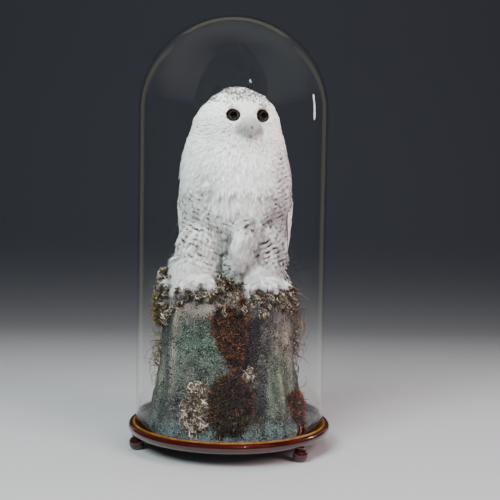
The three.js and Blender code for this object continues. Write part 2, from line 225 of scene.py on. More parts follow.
# %% A material under construction
class Finish:
    """A material under construction, whose methods add nodes and return their outputs."""

    def __init__(self, name):
        self.material = bpy.data.materials.new(name)
        self.material.use_nodes = True
        self.nodes = self.material.node_tree.nodes
        self.nodes.clear()

    def add(self, kind, inputs=None, output=0, **settings):
        """Adds one node: settings first, then each input's value or link."""
        node = self.nodes.new(kind)
        for name, value in settings.items():
            setattr(node, name, value)
        for key, value in (inputs or {}).items():
            if isinstance(value, Value):
                self.material.node_tree.links.new(value.socket, node.inputs[key])
            else:
                node.inputs[key].default_value = value
        return Value(self, node.outputs[output]) if node.outputs else None

    def place(self, scale=(1, 1, 1)):
        """The point's place on the object, in metres, stretched by a scale."""
        spot = self.add("ShaderNodeTexCoord", output="Object")
        return self.add("ShaderNodeMapping", {"Vector": spot, "Scale": scale})

    def field(self, name):
        """A number that the mesh carries."""
        return self.add("ShaderNodeAttribute", output="Fac", attribute_name=name)

    def sheet(self, name, scale=(1, 1, 1)):
        """The point's place on a UV map of the piece."""
        spot = self.add("ShaderNodeUVMap", uv_map=name)
        return self.add("ShaderNodeMapping", {"Vector": spot, "Scale": scale})

    def noise(self, vector, scale, detail=2.0, roughness=0.5):
        """Cloudy noise from 0 to 1; the scale is how many clouds fit into a metre."""
        inputs = {"Vector": vector, "Scale": scale, "Detail": detail, "Roughness": roughness}
        return self.add("ShaderNodeTexNoise", inputs)

    def axis(self, vector, name):
        """One coordinate of a vector: X, Y or Z."""
        return self.add("ShaderNodeSeparateXYZ", {"Vector": vector}, output=name)

    def mix(self, factor, first, second):
        """A colour between two colours; a Mix node's sockets 6 and 7 are its colours."""
        return self.add("ShaderNodeMix", {0: factor, 6: first, 7: second}, output=2, data_type="RGBA")

    def relief(self, height, distance, strength=1.0):
        """A normal bumped by a height, which is scaled by a distance in metres."""
        inputs = {"Height": height, "Distance": distance, "Strength": strength}
        return self.add("ShaderNodeBump", inputs, output="Normal")

    def finish(self, **values):
        """Ends in a Principled surface; each keyword is a socket's name with _ for a space."""
        inputs = {name.replace("_", " "): value for name, value in values.items()}
        surface = self.add("ShaderNodeBsdfPrincipled", inputs)
        self.add("ShaderNodeOutputMaterial", {"Surface": surface})
        return self.material

# %% Display colours
def paint(red, green, blue):
    """A colour from display values of 0 to 255, as the linear light that a socket takes."""
    display = np.array([red, green, blue]) / 255
    linear = np.where(display <= 0.04045, display / 12.92, ((display + 0.055) / 1.055) ** 2.4)
    return (*linear.tolist(), 1.0)

# %% [markdown]
# ## Camera and studio
#
# The camera stands a little to the owl's left and looks slightly down, so that the base shows its
# top and the dome its full height. A pale floor runs back to a plain grey backdrop: white feathers
# and clear glass both need something a little darker behind them. Four large soft lights do the
# work of a tent of white cloth, a cool one on one side and a warm one on the other. The glass
# mirrors only the small and narrow ones, which draw its highlight and the lines along its edges.

# %% Camera
from mathutils import Matrix, Vector

CAMERA = {"place": (0.0396, -2.4041, 0.6249), "down": 4.745, "roll": 0.923, "lens": 80.46}


def camera():
    """A level camera tipped down and then rolled: rotate about X, then about its own axis."""
    data = bpy.data.cameras.new("camera")
    data.lens = CAMERA["lens"]
    data.sensor_width = 36
    seen = bpy.data.objects.new("camera", data)
    tip = Matrix.Rotation(math.radians(90 - CAMERA["down"]), 4, "X")
    roll = Matrix.Rotation(math.radians(CAMERA["roll"]), 4, "Z")
    seen.matrix_world = Matrix.Translation(CAMERA["place"]) @ tip @ roll
    bpy.context.scene.collection.objects.link(seen)
    bpy.context.scene.camera = seen
    print("camera at", CAMERA["place"], "lens", CAMERA["lens"], "mm")


camera()

# %% Floor and backdrop
def studio_sheet():
    """Floor and backdrop as one sheet: a straight run, a quarter circle and a wall."""
    wide, near, turn, radius, high = 4.0, -3.2, 1.6, 1.2, 4.0
    angle = np.linspace(0, math.pi / 2, 16)
    bend = np.stack([turn + radius * np.sin(angle), radius * (1 - np.cos(angle))], -1)
    line = np.concatenate([[[near, 0]], bend, [[turn + radius, high]]])
    sides = np.array([-wide, wide])
    points = np.stack(np.broadcast_arrays(
        sides[None, :], line[:, None, 0], line[:, None, 1]), -1).reshape(-1, 3)
    finish = Finish("studio_paper")
    height = finish.axis(finish.place(), "Y")
    depth = height.within(0.2, 2.4)
    colour = finish.mix(depth, paint(158, 158, 160), paint(42, 44, 49))
    material = finish.finish(Base_Color=colour, Roughness=0.9, Specular_IOR_Level=0.2)
    sheet = mesh_piece("studio_sheet", points, grid_faces(len(line), 2), material, None)


studio_sheet()

# %% Soft lights
def soft_light(name, place, size, power, tint, aim=(0, 0, 0.5), mirrored=False, tall=1.0, lit=True):
    """A rectangle of light with its -Z axis turned to the aim: size wide and size * tall high.

    Glass and gloss show it only if mirrored, and matt surfaces are lit by it only if lit.
    """
    data = bpy.data.lights.new(name, "AREA")
    data.shape = "RECTANGLE"
    data.size, data.size_y, data.energy, data.color = size, size * tall, power, tint
    light = bpy.data.objects.new(name, data)
    light.visible_glossy = mirrored
    light.visible_transmission = mirrored and lit
    light.visible_diffuse, light.visible_camera = lit, False
    toward = Vector(aim) - Vector(place)
    light.matrix_world = Matrix.Translation(place) @ toward.to_track_quat("-Z", "Y").to_matrix().to_4x4()
    bpy.context.scene.collection.objects.link(light)


soft_light("key_light", (-1.2, -2.2, 2.4), 1.5, 225, (0.88, 1.0, 0.99))
soft_light("fill_light", (1.8, -1.7, 1.7), 1.4, 114, (1.0, 0.76, 0.77))
soft_light("top_light", (0.1, 0.3, 3.0), 1.6, 55, (1.0, 1.0, 1.0))
soft_light("front_light", (0.1, -3.0, 1.1), 2.2, 14, (1.0, 0.98, 0.97))
soft_light("spark_light", (0.8, -2.1, 2.1), 0.14, 5, (1.0, 1.0, 1.0), mirrored=True)
soft_light("edge_light", (2.0, 0.7, 1.0), 0.09, 5, (1.0, 0.97, 0.9), mirrored=True, tall=5.0)
olive = (0.78, 0.70, 0.36)
for side, x in (("left", -0.56), ("right", 0.54)):
    soft_light(f"{side}_glow", (x, 0.36, 0.55), 0.15, 0.28, olive, (0, 0, 0.55), True, 10.0, lit=False)
soft_light("top_glow", (0.0, 1.3, 2.0), 1.6, 0.9, olive, (0, 0, 0.9), True, 0.22, lit=False)
world = bpy.data.worlds.new("room")
world.use_nodes = True
background = world.node_tree.nodes["Background"]
background.inputs["Color"].default_value = (0.5, 0.51, 0.53, 1)
background.inputs["Strength"].default_value = 0.06
bpy.context.scene.world = world
print("lights:", [light.name for light in bpy.data.lights])

# %% [markdown]
# ## The turned base
#
# The base is a board turned on a lathe with a full round bead at its rim, stained dark red and
# French polished: a thin, very even gloss over figure that lies in level lines round the bead and
# in soft clouds on top. A lathe surface is a profile turned about an axis. The wood's figure is
# noise squeezed in height, and its polish is a clear coat.

# %% Polished wood
RIM, BEAD, BEAD_HEIGHT, BOARD_TOP = 219.5, 11.4, 43.0, 50.0
GLASS_RADIUS, GLASS_WALL, GLASS_FOOT, GLASS_TOP = 203.0, 3.0, 46.8, 924.0
BUN = {"radius": 16.5, "circle": 205.0, "height": 31.3, "flat": 9.0, "first": -42.7, "count": 3}


def arc(radius_at, height_at, radius, start, stop, steps):
    """Points of (radius, height) on a circle about a centre, between two angles in degrees."""
    angle = np.radians(np.linspace(start, stop, steps))
    return np.stack([radius_at + radius * np.cos(angle), height_at + radius * np.sin(angle)], -1)


def polished_wood():
    """Red-brown figure: fine dark pores and wider bands, both squeezed in height, and clouds."""
    finish = Finish("polished_mahogany")
    figure = finish.noise(finish.place((6, 6, 90)), 3.0, 4.0, 0.6)
    pores = finish.noise(finish.place((40, 40, 700)), 2.0, 3.0, 0.7)
    cloud = finish.noise(finish.place(), 9.0, 3.0)
    colour = finish.mix(figure.within(0.35, 0.7), paint(24, 6, 4), paint(58, 15, 9))
    colour = finish.mix(pores.within(0.56, 0.72) * 0.6, colour, paint(18, 5, 4))
    colour = finish.mix(cloud.within(0.5, 0.8) * 0.3, colour, paint(74, 22, 12))
    gloss = cloud * 0.14 + 0.16
    return finish.finish(
        Base_Color=colour, Roughness=gloss, Coat_Weight=0.9, Coat_Roughness=0.05,
        Normal=finish.relief(pores, 0.0001, 0.4))

# %% The board
mahogany = polished_wood()
shelf = RIM - 9.7
base_profile = MM * np.concatenate([
    [[0, BEAD_HEIGHT - BEAD], [RIM - BEAD - 24, BEAD_HEIGHT - BEAD]],
    arc(RIM - BEAD, BEAD_HEIGHT, BEAD, -90, 52, 22),
    [[shelf + 1.2, BOARD_TOP + 2.6], [shelf, BOARD_TOP + 1.8], [shelf, BOARD_TOP]],
    [[GLASS_RADIUS + 0.8, BOARD_TOP], [GLASS_RADIUS + 0.7, GLASS_FOOT - 0.3]],
    [[GLASS_RADIUS - GLASS_WALL - 0.7, GLASS_FOOT - 0.3], [GLASS_RADIUS - GLASS_WALL - 0.8, BOARD_TOP]],
    [[0, BOARD_TOP]],
])
points, faces = lathe(base_profile, 160)
board = mesh_piece("turned_base", points, faces, mahogany, "mahogany")
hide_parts("wood_base")

# %% The ring over the dome's foot
def ochre_bead():
    """The ring that hides the dome's foot: ochre stain, worn paler in patches."""
    finish = Finish("ochre_bead")
    worn = finish.noise(finish.place(), 60.0, 3.0)
    colour = finish.mix(worn.within(0.35, 0.7), paint(96, 58, 18), paint(128, 86, 36))
    return finish.finish(Base_Color=colour, Roughness=worn * 0.2 + 0.3, Coat_Weight=0.3)


RING = {"inside": 198.8, "middle": 206.85, "half": 2.55, "high": 4.2, "foot": 50.1, "skirt": 0.2}
outside, skirt = RING["middle"] + RING["half"], RING["foot"] + RING["skirt"]
ring_profile = MM * np.concatenate([
    arc(0, 0, 1, 0, 180, 9) * [RING["half"], RING["high"]] + [RING["middle"], skirt],
    [[RING["inside"], skirt], [RING["inside"], RING["foot"]], [outside, RING["foot"]], [outside, skirt]],
])
points, faces = lathe(ring_profile, 160)
ring = mesh_piece("foot_ring", points, faces, ochre_bead(), "ochre_ring")
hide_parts("dome_ring")

# %% Three bun feet
def bun_profile():
    """A turned bun: a flat to stand on, a round belly, and a short neck under the board."""
    middle = BUN["height"] * 0.45
    belly = arc(0, 0, 1, -66, 58, 18)
    belly = belly * [BUN["radius"], middle / math.sin(math.radians(62))] + [0, middle]
    neck = [[9.6, BUN["height"] - 1.6], [10, BUN["height"]], [0, BUN["height"]]]
    return MM * np.concatenate([[[0, 0], [BUN["flat"], 0]], belly[1:], neck])


for index in range(BUN["count"]):
    azimuth = math.radians(BUN["first"] + 360 / BUN["count"] * index)
    shift = MM * BUN["circle"] * np.array([math.cos(azimuth), math.sin(azimuth), 0])
    points, faces = lathe(bun_profile(), 48)
    bun = mesh_piece(f"bun_{index + 1}", points + shift, faces, mahogany, "mahogany")
    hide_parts(f"bun_foot_{index + 1}")

# %% [markdown]
# ## The rockwork
#
# The stump was made by draping stiff glued paper over a frame, painting it grey-green and lilac,
# and sifting sand and black grit on the wet paint. So its big shape is cloth-like, with folds that
# fall from a rolled rim, and its surface is grit. One sheet of points goes up the sides, over the
# rim and in to the middle of the top. The folds, the cleft between the two lobes and the dark
# hollow are moved points, while the grit, finer than a millimetre, is colour and bump. Left and
# right are the viewer's here.

# %% The stump's outline
STUMP_TOP, STUMP_POWER = 335.0, 2.3
STUMP_STATIONS = [  # height, left, right, front, back
    (57, 180, 178, 178, 172), (72, 172, 163, 165, 152), (100, 168, 154, 156, 140),
    (150, 157, 144, 141, 128), (210, 150, 134, 128, 117), (270, 152, 132, 121, 107),
    (320, 157, 134, 119, 99), (335, 151, 129, 113, 93),
]
CREASES = [  # x at the top and at the foot, lowest and highest end, how far out, half width
    (-108, -122, 60, 318, 7.0, 6.0), (-136, -150, 60, 250, 4.5, 8.0), (-84, -70, 60, 150, 4.0, 12.0),
    (58, 66, 60, 230, 3.5, 7.0), (82, 92, 60, 290, 4.5, 5.5), (99, 112, 60, 300, 5.0, 5.0),
    (116, 133, 60, 285, 4.0, 5.0), (40, 52, 60, 120, 4.0, 8.0),
]
CLEFT = [  # height, x, half width, depth: the crack between the lobes, widening to a hollow
    (100, 14, 5, 0), (125, 12, 12, 14), (150, 16, 15, 30), (172, 22, 14, 34), (196, 24, 9, 26),
    (225, 25, 6, 17), (300, 26, 5, 13), (335, 26, 6, 13),
]


def stump_outline(angle, height):
    """A rounded outline at each height: x and y are powers of cosine and sine, times half-axes."""
    left, right, front, back = np.moveaxis(curve_through(STUMP_STATIONS, height), -1, 0)
    c, s = np.cos(angle), np.sin(angle)
    x = np.sign(c) * np.abs(c) ** (2 / STUMP_POWER) * np.where(c > 0, right, left)
    y = np.sign(s) * np.abs(s) ** (2 / STUMP_POWER) * np.where(s > 0, back, front)
    folds = 0.02 * np.sin(5 * angle + 0.8) + 0.012 * np.sin(9 * angle + 2.1 + height / 90)
    folds += 0.01 * np.sin(17 * angle - height / 60)
    return x * (1 + folds), y * (1 + folds)

# %% Folds, lobes and cleft
def folds(x, y, height):
    """The upright folds in mm: each is a ridge about a line that wavers down the front."""
    front = np.clip(-y / 40, 0, 1)
    out = np.zeros_like(x)
    for top, foot, low, high, amount, half in CREASES:
        middle = foot + (top - foot) * (height - 60) / 275 + 4 * np.sin(height / 37 + top)
        ends = np.clip((height - low) / 60 + 0.3, 0, 1) * np.clip((high - height) / 40, 0, 1)
        out += amount * ends * front * np.exp(-((x - middle) / half) ** 2)
    return out


def stump_relief(x, y, height):
    """How far the plain outline is pushed out at a place: folds, lobes, cleft and lumps, in mm."""
    front = np.clip(-y / 40, 0, 1)
    out = 1.5 * folds(x, y, height)
    at, half, depth = np.moveaxis(curve_through(CLEFT, height), -1, 0)
    wander = at + 3 * np.sin(height / 23)
    out -= front * depth * np.exp(-np.abs((x - wander) / half) ** 2.4) * (height > 98)
    lobe = np.clip((x - wander) / 6, 0, 1) * np.clip((130 - x) / 60, 0, 1)
    out -= front * lobe * 11 * np.clip((height - 120) / 80, 0, 1)
    place = np.stack([x, y, height], -1)
    out += 3.2 * rough(place, 46, 3) + 1.3 * rough(place, 14, 8)
    out += 2.4 * np.clip(1 - np.abs(height - 316) / 16, 0, 1) * (1 + noise(place, 30, 5))
    return out

# %% Sides, lip and top as one sheet
def stump_sheet(columns=400, side_rows=126, top_rows=34, lip=9.0):
    """Sides, rolled lip and top as one grid: rows go up, round a quarter circle and then inwards."""
    side = np.linspace(57.0, STUMP_TOP - lip, side_rows)
    turn = np.linspace(0, math.pi / 2, 8)[1:]
    height = np.concatenate([side, STUMP_TOP - lip * (1 - np.sin(turn)), np.full(top_rows, STUMP_TOP)])
    inset = np.concatenate([np.zeros(side_rows), lip * (1 - np.cos(turn)), np.full(top_rows, lip)])
    shrink = np.concatenate([np.ones(side_rows + 7), np.linspace(0.985, 0.0, top_rows)])
    angle = np.linspace(0, 2 * math.pi, columns, endpoint=False)
    angle, height = np.broadcast_arrays(angle[None, :], height[:, None])
    x, y = stump_outline(angle, height)
    away = unit(np.stack([x, y], -1))
    push = stump_relief(x, y, height) - inset[:, None]
    x, y = x + away[..., 0] * push, y + away[..., 1] * push
    x, y = x * shrink[:, None], y * shrink[:, None]
    place = np.stack([x, y, height], -1)
    level = (shrink < 0.99)[:, None] * np.clip((1 - shrink[:, None]) / 0.1, 0, 1)
    rim = np.clip((height - 318) / 14, 0, 1)
    ledge = np.clip((24 - x) / 8, 0, 1) * np.clip((x + 60) / 40, 0, 1)
    raised = 5.0 * rim * ledge * np.clip(-y / 60, 0, 1)
    z = height + raised - level * (2 + 2.5 * rough(place, 40, 11))
    return np.stack([x, y, z], -1).reshape(-1, 3), grid_faces(len(height), columns, wrap=True)

# %% [markdown]
# The paint was laid on in soft patches, each with its own place on the stump. A patch is a number
# from 0 to 1 at every point, which the mesh carries as an attribute. Some patches are painted light:
# painted shade in the hollow, down the crack and on the recessed right lobe, and painted highlight
# along the crest of the rim and the ridges of the folds. The material only mixes the colours by
# those numbers and adds the grit, so stump and ground can share it.

# %% Where each colour of the paint, the painted shade and the painted highlight lies
def near(points, x, z, wide, high):
    """A soft patch on the front of the stump, round (x, z), with half sizes wide and high."""
    away = ((points[:, 0] - x) / wide) ** 2 + ((points[:, 2] - z) / high) ** 2
    return np.exp(-away) * (points[:, 1] < 20)


def rock_fields(points):
    """Where each colour of the paint lies, by place in mm: the skirt is the band near the ground.
    Some of them are painted light: shade in the hollow, down the crack and on the recessed right
    lobe, and highlight along the crest of the rim and the ridges of the folds.
    """
    drift = rough(points, 55, 21)
    fine = rough(points, 17, 27)
    green = 0.8 * near(points, -28, 235, 60, 60) + 0.7 * near(points, -130, 120, 40, 60)
    green += 0.6 * near(points, 95, 170, 26, 80) + 0.4 * near(points, -95, 262, 30, 50)
    green = np.clip(green * (0.8 + 0.6 * drift) + 0.2 * drift, 0, 1)
    lilac = np.clip((points[:, 2] - 284) / 34 + 0.45 * drift, 0, 1)
    lilac += 0.75 * near(points, 92, 262, 40, 46) + 0.5 * near(points, -70, 150, 60, 46) * (0.5 + fine)
    lilac += 0.8 * near(points, -50, 316, 80, 18)
    # dark purple paint, and painted shade on the recessed right lobe and low down on it
    purple_and_shade = 1.5 * near(points, 50, 236, 32, 66) + near(points, 60, 108, 22, 36)
    purple_and_shade = np.clip(purple_and_shade * (0.9 + 0.6 * fine) - 0.1, 0, 1)
    # crest and pale: paler paint in patches, and painted highlight along the crest of the rim and on the
    # ridges of the folds
    crest = np.clip((points[:, 2] - 326) / 8, 0, 1) * np.clip(0.5 + drift, 0, 1)
    pale = 0.8 * crest + 0.9 * near(points, -60, 308, 60, 18) * (0.7 + drift)
    pale += 0.5 * near(points, 120, 255, 12, 70)
    pale = np.clip(pale + 0.05 * folds(*points.T) * (0.8 + drift), 0, 1)
    # painted shade in the hollow between the lobes and down the crack
    crack = np.exp(-((points[:, 0] - 22) / 4) ** 2) * (points[:, 1] < 0) * (points[:, 2] > 200)
    crevice_shade = np.clip(near(points, 18, 165, 17, 34) * 1.5 + crack, 0, 1)
    skirt = np.clip((88 + 8 * fine - points[:, 2]) / 16, 0, 1)
    return {"green": green, "lilac": np.clip(lilac, 0, 1), "purple_and_shade": purple_and_shade,
            "pale": pale, "crevice_shade": crevice_shade, "skirt": skirt}

# %% Gritty paint
def gritty_paint():
    """Painted paper under sand: patches of colour, painted shade and painted highlight, black and
    white grit, and bump from both.
    """
    finish = Finish("gritty_paint")
    spot = finish.place()
    cloud = finish.noise(spot, 26.0, 4.0, 0.6)
    colour = finish.mix(cloud.within(0.35, 0.65), paint(36, 40, 40), paint(66, 71, 67))
    colour = finish.mix(finish.field("green") * (cloud * 0.6 + 0.5), colour, paint(66, 90, 76))
    colour = finish.mix(finish.field("lilac") * 0.7, colour, paint(104, 94, 98))
    # dark purple paint with painted shade on the recessed right lobe
    colour = finish.mix(finish.field("purple_and_shade") * 0.95, colour, paint(16, 9, 11))
    # paler paint, and painted highlight on the crest of the rim and the ridges of the folds
    colour = finish.mix(finish.field("pale") * 0.75, colour, paint(168, 154, 136))
    colour = finish.mix(finish.field("skirt"), colour, paint(64, 75, 77))
    crumbs = finish.noise(spot, 420.0, 2.5, 0.6)
    clumps = finish.noise(spot, 60.0, 3.0)
    black = (crumbs + (clumps - 0.5) * 0.5).within(0.49, 0.55)
    colour = finish.mix(black * 0.94, colour, paint(5, 5, 6))
    sand = finish.noise(finish.place((1.3, 1.1, 0.9)), 420.0, 2.5, 0.6)
    colour = finish.mix(sand.within(0.58, 0.66) * 0.6, colour, paint(166, 166, 156))
    # more painted shade and dark purple paint on the right lobe
    colour = finish.mix(finish.field("purple_and_shade") * 0.6, colour, paint(14, 8, 10))
    # painted shade in the hollow and the crack
    colour = finish.mix(finish.field("crevice_shade") * 0.9, colour, paint(12, 9, 8))
    return finish.finish(
        Base_Color=colour, Roughness=0.95, Specular_IOR_Level=0.2,
        Normal=finish.relief(crumbs - sand * 0.6, 0.0022, 0.8))


rock_paint = gritty_paint()
rock_points, rock_faces = welded(*stump_sheet())
stump = mesh_piece("rockwork", rock_points * MM, rock_faces, rock_paint, "rockwork",
                   fields=rock_fields(rock_points))
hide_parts("rock_stump")

# %% The sanded ground
def ground_sheet(columns=240, rows=40, edge=198.6):
    """A level, slightly uneven disc of sanded paint, whose rim is wavy and rounded downwards."""
    bend = [0.5, 1.1, 1.57]
    reach = np.concatenate([np.linspace(0, 1, rows) * (edge - 4), edge - 4 + 4 * np.sin(bend)])
    fall = np.concatenate([np.zeros(rows), 7 * (1 - np.cos(bend))])
    angle = np.linspace(0, 2 * math.pi, columns, endpoint=False)
    wave = 1 + 0.002 * np.sin(7 * angle) + 0.001 * np.sin(17 * angle + 1)
    x = reach[:, None] * np.cos(angle) * wave
    y = reach[:, None] * np.sin(angle) * wave
    place = np.stack([x, y, np.zeros_like(x)], -1)
    soft = np.clip((edge - reach[:, None]) / 30, 0, 1)
    z = 57.5 - fall[:, None] * 0.8 + soft * (1.6 * rough(place, 40, 31) + 1.0)
    return np.stack([x, y, z], -1).reshape(-1, 3), grid_faces(len(reach), columns, wrap=True)


points, faces = welded(*ground_sheet())
blank = np.zeros(len(points))
drift = rough(points, 60, 41)
fields = {"green": np.clip(0.2 + drift, 0, 0.5), "lilac": np.clip(0.3 - drift, 0, 0.6),
          "purple_and_shade": blank, "pale": blank, "crevice_shade": blank, "skirt": blank + 0.8}
ground = mesh_piece("sanded_ground", points * MM, faces, rock_paint, "rockwork", fields=fields)
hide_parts("groundwork")

# %% [markdown]
# ## The owl's skin
#
# The solids give the bird's outline out to the feather tips. Its skin lies inside that by the
# depth of the coat, which is deepest on the breast and least on the tail and the wings. Copies of
# the solids are welded, fused into one closed surface by a voxel remesh, smoothed by Taubin's rule
# (a step towards the neighbours' mean, then a slightly larger step back, so that nothing shrinks),
# and pulled in along the normals. Each point also remembers how near it is to each solid, so that
# everything that grows from it can blend from one part of the body to the next.

# %% Reading and measuring the solids
FLESH = ["head", "neck", "trunk", "tail", "wing_right", "wing_left",
         "leg_right", "leg_left", "foot_right", "foot_left"]
EYES = ["eye_right", "eye_left"]


def node_mesh(name):
    """A solid's corners, welded and in mm, and its triangles."""
    mesh = nodes[name].data
    points = np.empty(len(mesh.vertices) * 3)
    mesh.vertices.foreach_get("co", points)
    place = np.array(nodes[name].matrix_world)
    points = (points.reshape(-1, 3) @ place[:3, :3].T + place[:3, 3]) / MM
    mesh.calc_loop_triangles()
    faces = np.empty(len(mesh.loop_triangles) * 3, np.int32)
    mesh.loop_triangles.foreach_get("vertices", faces)
    points, same = np.unique(points.round(3), axis=0, return_inverse=True)
    return points, same.ravel()[faces].reshape(-1, 3)


def scattered(points, faces, count, seed):
    """Places spread evenly over triangles: p = a + u (b - a) + v (c - a), with u + v below 1."""
    rng = np.random.default_rng(seed)
    a, b, c = (points[faces[:, k]] for k in range(3))
    area = np.linalg.norm(np.cross(b - a, c - a), axis=1)
    pick = rng.choice(len(faces), count, p=area / area.sum())
    u, v = rng.random((2, count))
    over = u + v > 1
    u, v = np.where(over, 1 - u, u), np.where(over, 1 - v, v)
    weights = np.stack([1 - u - v, u, v], -1)
    return np.einsum("ik,ikd->id", weights, points[faces[pick]]), pick, weights


def distances(points, clouds):
    """The distance from each point to the nearest member of each cloud: d2 = p2 + c2 - 2 p.c."""
    out = np.empty((len(points), len(clouds)))
    square = (points ** 2).sum(1)[:, None]
    for column, cloud in enumerate(clouds):
        for first in range(0, len(points), 8000):
            rows = slice(first, first + 8000)
            gap = square[rows] + (cloud ** 2).sum(1)[None] - 2 * points[rows] @ cloud.T
            out[rows, column] = np.sqrt(np.maximum(gap.min(1), 0))
    return out

# %% Fusing and smoothing
def remeshed(points, faces, voxel):
    """One closed surface of small quads round overlapping or touching solids."""
    mesh = bpy.data.meshes.new("draft")
    mesh.from_pydata((points * MM).tolist(), [], faces.tolist())
    draft = bpy.data.objects.new("draft", mesh)
    bpy.context.scene.collection.objects.link(draft)
    change = draft.modifiers.new("remesh", "REMESH")
    change.mode, change.voxel_size = "VOXEL", voxel * MM
    done = draft.evaluated_get(bpy.context.evaluated_depsgraph_get()).to_mesh()
    corners = np.empty(len(done.vertices) * 3)
    done.vertices.foreach_get("co", corners)
    quads = np.empty(len(done.loops), np.int32)
    done.loops.foreach_get("vertex_index", quads)
    result = corners.reshape(-1, 3) / MM, quads.reshape(-1, 4)
    bpy.data.objects.remove(draft)
    return result


def relaxed(points, faces, rounds, share=None):
    """Taubin smoothing: p + 0.5 (mean of neighbours - p), then p - 0.53 (mean - p), repeated.

    With a share from 0 to 1 for each point, only the first step is taken, and that much of it, so
    that creases fill up where the share is high.
    """
    ends = np.concatenate([faces[:, [k, (k + 1) % 4]] for k in range(4)])
    ends = np.concatenate([ends, ends[:, ::-1]])
    count = np.bincount(ends[:, 0], minlength=len(points))[:, None]
    for _ in range(rounds):
        for step in (0.5, -0.53) if share is None else (0.5 * share,):
            total = np.stack([np.bincount(ends[:, 0], points[ends[:, 1], k], len(points))
                              for k in range(3)], -1)
            points = points + step * (total / np.maximum(count, 1) - points)
    return points


def normals_of(points, faces):
    """Each point's normal: the sum of the crossed diagonals of the quads that share it."""
    a, b, c, d = (points[faces[:, k]] for k in range(4))
    face = np.cross(c - a, d - b)
    total = np.zeros_like(points)
    for k in range(4):
        for axis in range(3):
            total[:, axis] += np.bincount(faces[:, k], face[:, axis], len(points))
    return unit(total)

# %% The owl's outer surface
flesh = {name: node_mesh(name) for name in FLESH}
clouds = [scattered(*flesh[name], 700, seed)[0] for seed, name in enumerate(FLESH)]
starts = np.cumsum([0] + [len(flesh[name][0]) for name in FLESH])
joined = np.concatenate([flesh[name][0] for name in FLESH])
sides = np.concatenate([flesh[name][1] + start for name, start in zip(FLESH, starts)])
outer, quads = remeshed(joined, sides, 4.0)
outer = relaxed(outer, quads, 14)
# the creases at the thighs and the throat fill up, and the sides of the head are drawn in
thighs = np.exp(-((outer[:, 2] - 510) / 42) ** 2) * (np.abs(outer[:, 0] - 10) > 34)
throat = np.exp(-((outer[:, 2] - 652) / 34) ** 2)
outer = relaxed(outer, quads, 110, np.maximum(0.7 * thighs, throat)[:, None])
slim = np.exp(-(((outer - [-78, 0, 735]) / [60, 90, 40]) ** 2).sum(1))
slim += 0.7 * np.exp(-(((outer - [98, 0, 715]) / [40, 90, 34]) ** 2).sum(1))
outer = outer - normals_of(outer, quads) * 8 * slim[:, None]
print("skin:", len(outer), "points,", len(quads), "quads")

# %% [markdown]
# ## Which way feathers lie
#
# Feathers lie like shingles, from the bill over the crown to the nape, outwards round each eye,
# down the breast, back and legs, along each folded wing and out over the toes. For each solid
# there is one simple rule for that direction; a place's own direction is the rules' mean, weighted
# by nearness and laid flat on the skin. Length, width and spacing are blended in the same way.

# %% Rules for each part of the body
EYE_PLACES = np.array([node_mesh(name)[0].mean(0) for name in EYES])
HEAD_TURN, HEAD_AXIS = math.radians(22), np.array([8.0, -14.0, 0.0])  # turned about an upright line
BILL_ROOT = HEAD_AXIS + [66 * math.sin(HEAD_TURN), -66 * math.cos(HEAD_TURN), 692.0]
ANKLES = {"foot_right": (-70, -48, 372), "foot_left": (71, -48, 372)}
RULES = {  # depth, spacing, length, width, droop of the tips
    "head": (8, 4.6, 19, 8, 0.1), "neck": (12, 7.0, 36, 15, 0.2), "trunk": (13, 8.0, 44, 18, 0.2),
    "tail": (3, 12, 60, 30, 0.0), "wing_right": (4, 9, 46, 22, 0.0), "wing_left": (4, 9, 46, 22, 0.0),
    "leg_right": (10, 7.0, 34, 15, 0.2), "leg_left": (10, 7.0, 34, 15, 0.2),
    "foot_right": (9, 3.8, 30, 12, 1.0), "foot_left": (9, 3.8, 30, 12, 1.0),
}
WING_PATH = np.array([(60, -30, 645), (94, -36, 602), (106, -2, 540), (97, 42, 468),
                      (75, 86, 392), (52, 126, 318), (30, 158, 256)], float)
TAIL_PATH = np.array([(8, 66, 430), (8, 112, 348), (8, 138, 272), (8, 150, 214)], float)

# %% The lie of the feathers
def path_frame(path, points):
    """How far along a path each point is, from 0 to 1, and the path's direction there."""
    fine = np.linspace(0, 1, 60)
    spots = curve_through(np.column_stack([np.linspace(0, 1, len(path)), path]), fine)
    run = unit(np.gradient(spots, axis=0))
    gap = ((points[:, None] - spots[None]) ** 2).sum(-1)
    nearest = gap.argmin(1)
    return fine[nearest], run[nearest], spots[nearest]


def wing_path(side):
    """The folded wing's middle line on one side of the body: -1 is the owl's right."""
    return WING_PATH * [side, 1, 1] + [6, 0, 0]


def from_the_middle(spots):
    """The way out of the body at a place on a wing, level."""
    return spots * [1, 1, 0] - [6, 5, 0]


def lie_rules(points):
    """One direction per point and solid, in the order of FLESH."""
    down = np.broadcast_to([0.0, 0.0, -1.0], points.shape)
    spread = unit(points * [0.5, 0.15, 0] + [0, 0, -70.0])
    from_bill = points - BILL_ROOT
    head = unit(from_bill * [1, 1, 1.1] + [0, 26, -16])
    for eye in EYE_PLACES:
        away = points - eye
        close = np.exp(-(np.linalg.norm(away, axis=1, keepdims=True) / 26) ** 2)
        head = unit(head + 2.4 * close * unit(away))
    rules = [head, spread, spread, path_frame(TAIL_PATH, points)[1]]
    rules += [path_frame(wing_path(side), points)[1] for side in (-1, 1)]
    rules += [down, down]
    for ankle in ANKLES.values():
        rules.append(unit((points - np.array(ankle)) * [1, 1, 0] + [0, -14, -10]))
    return np.stack(rules, 1)

# %% Sizes that blend from part to part
def body_weights(points):
    """How much each solid rules at a place: its share of exp(-distance / 7 mm)."""
    away = distances(points, clouds)
    weight = np.exp(-(away - away.min(1, keepdims=True)) / 7.0)
    return weight / weight.sum(1, keepdims=True)


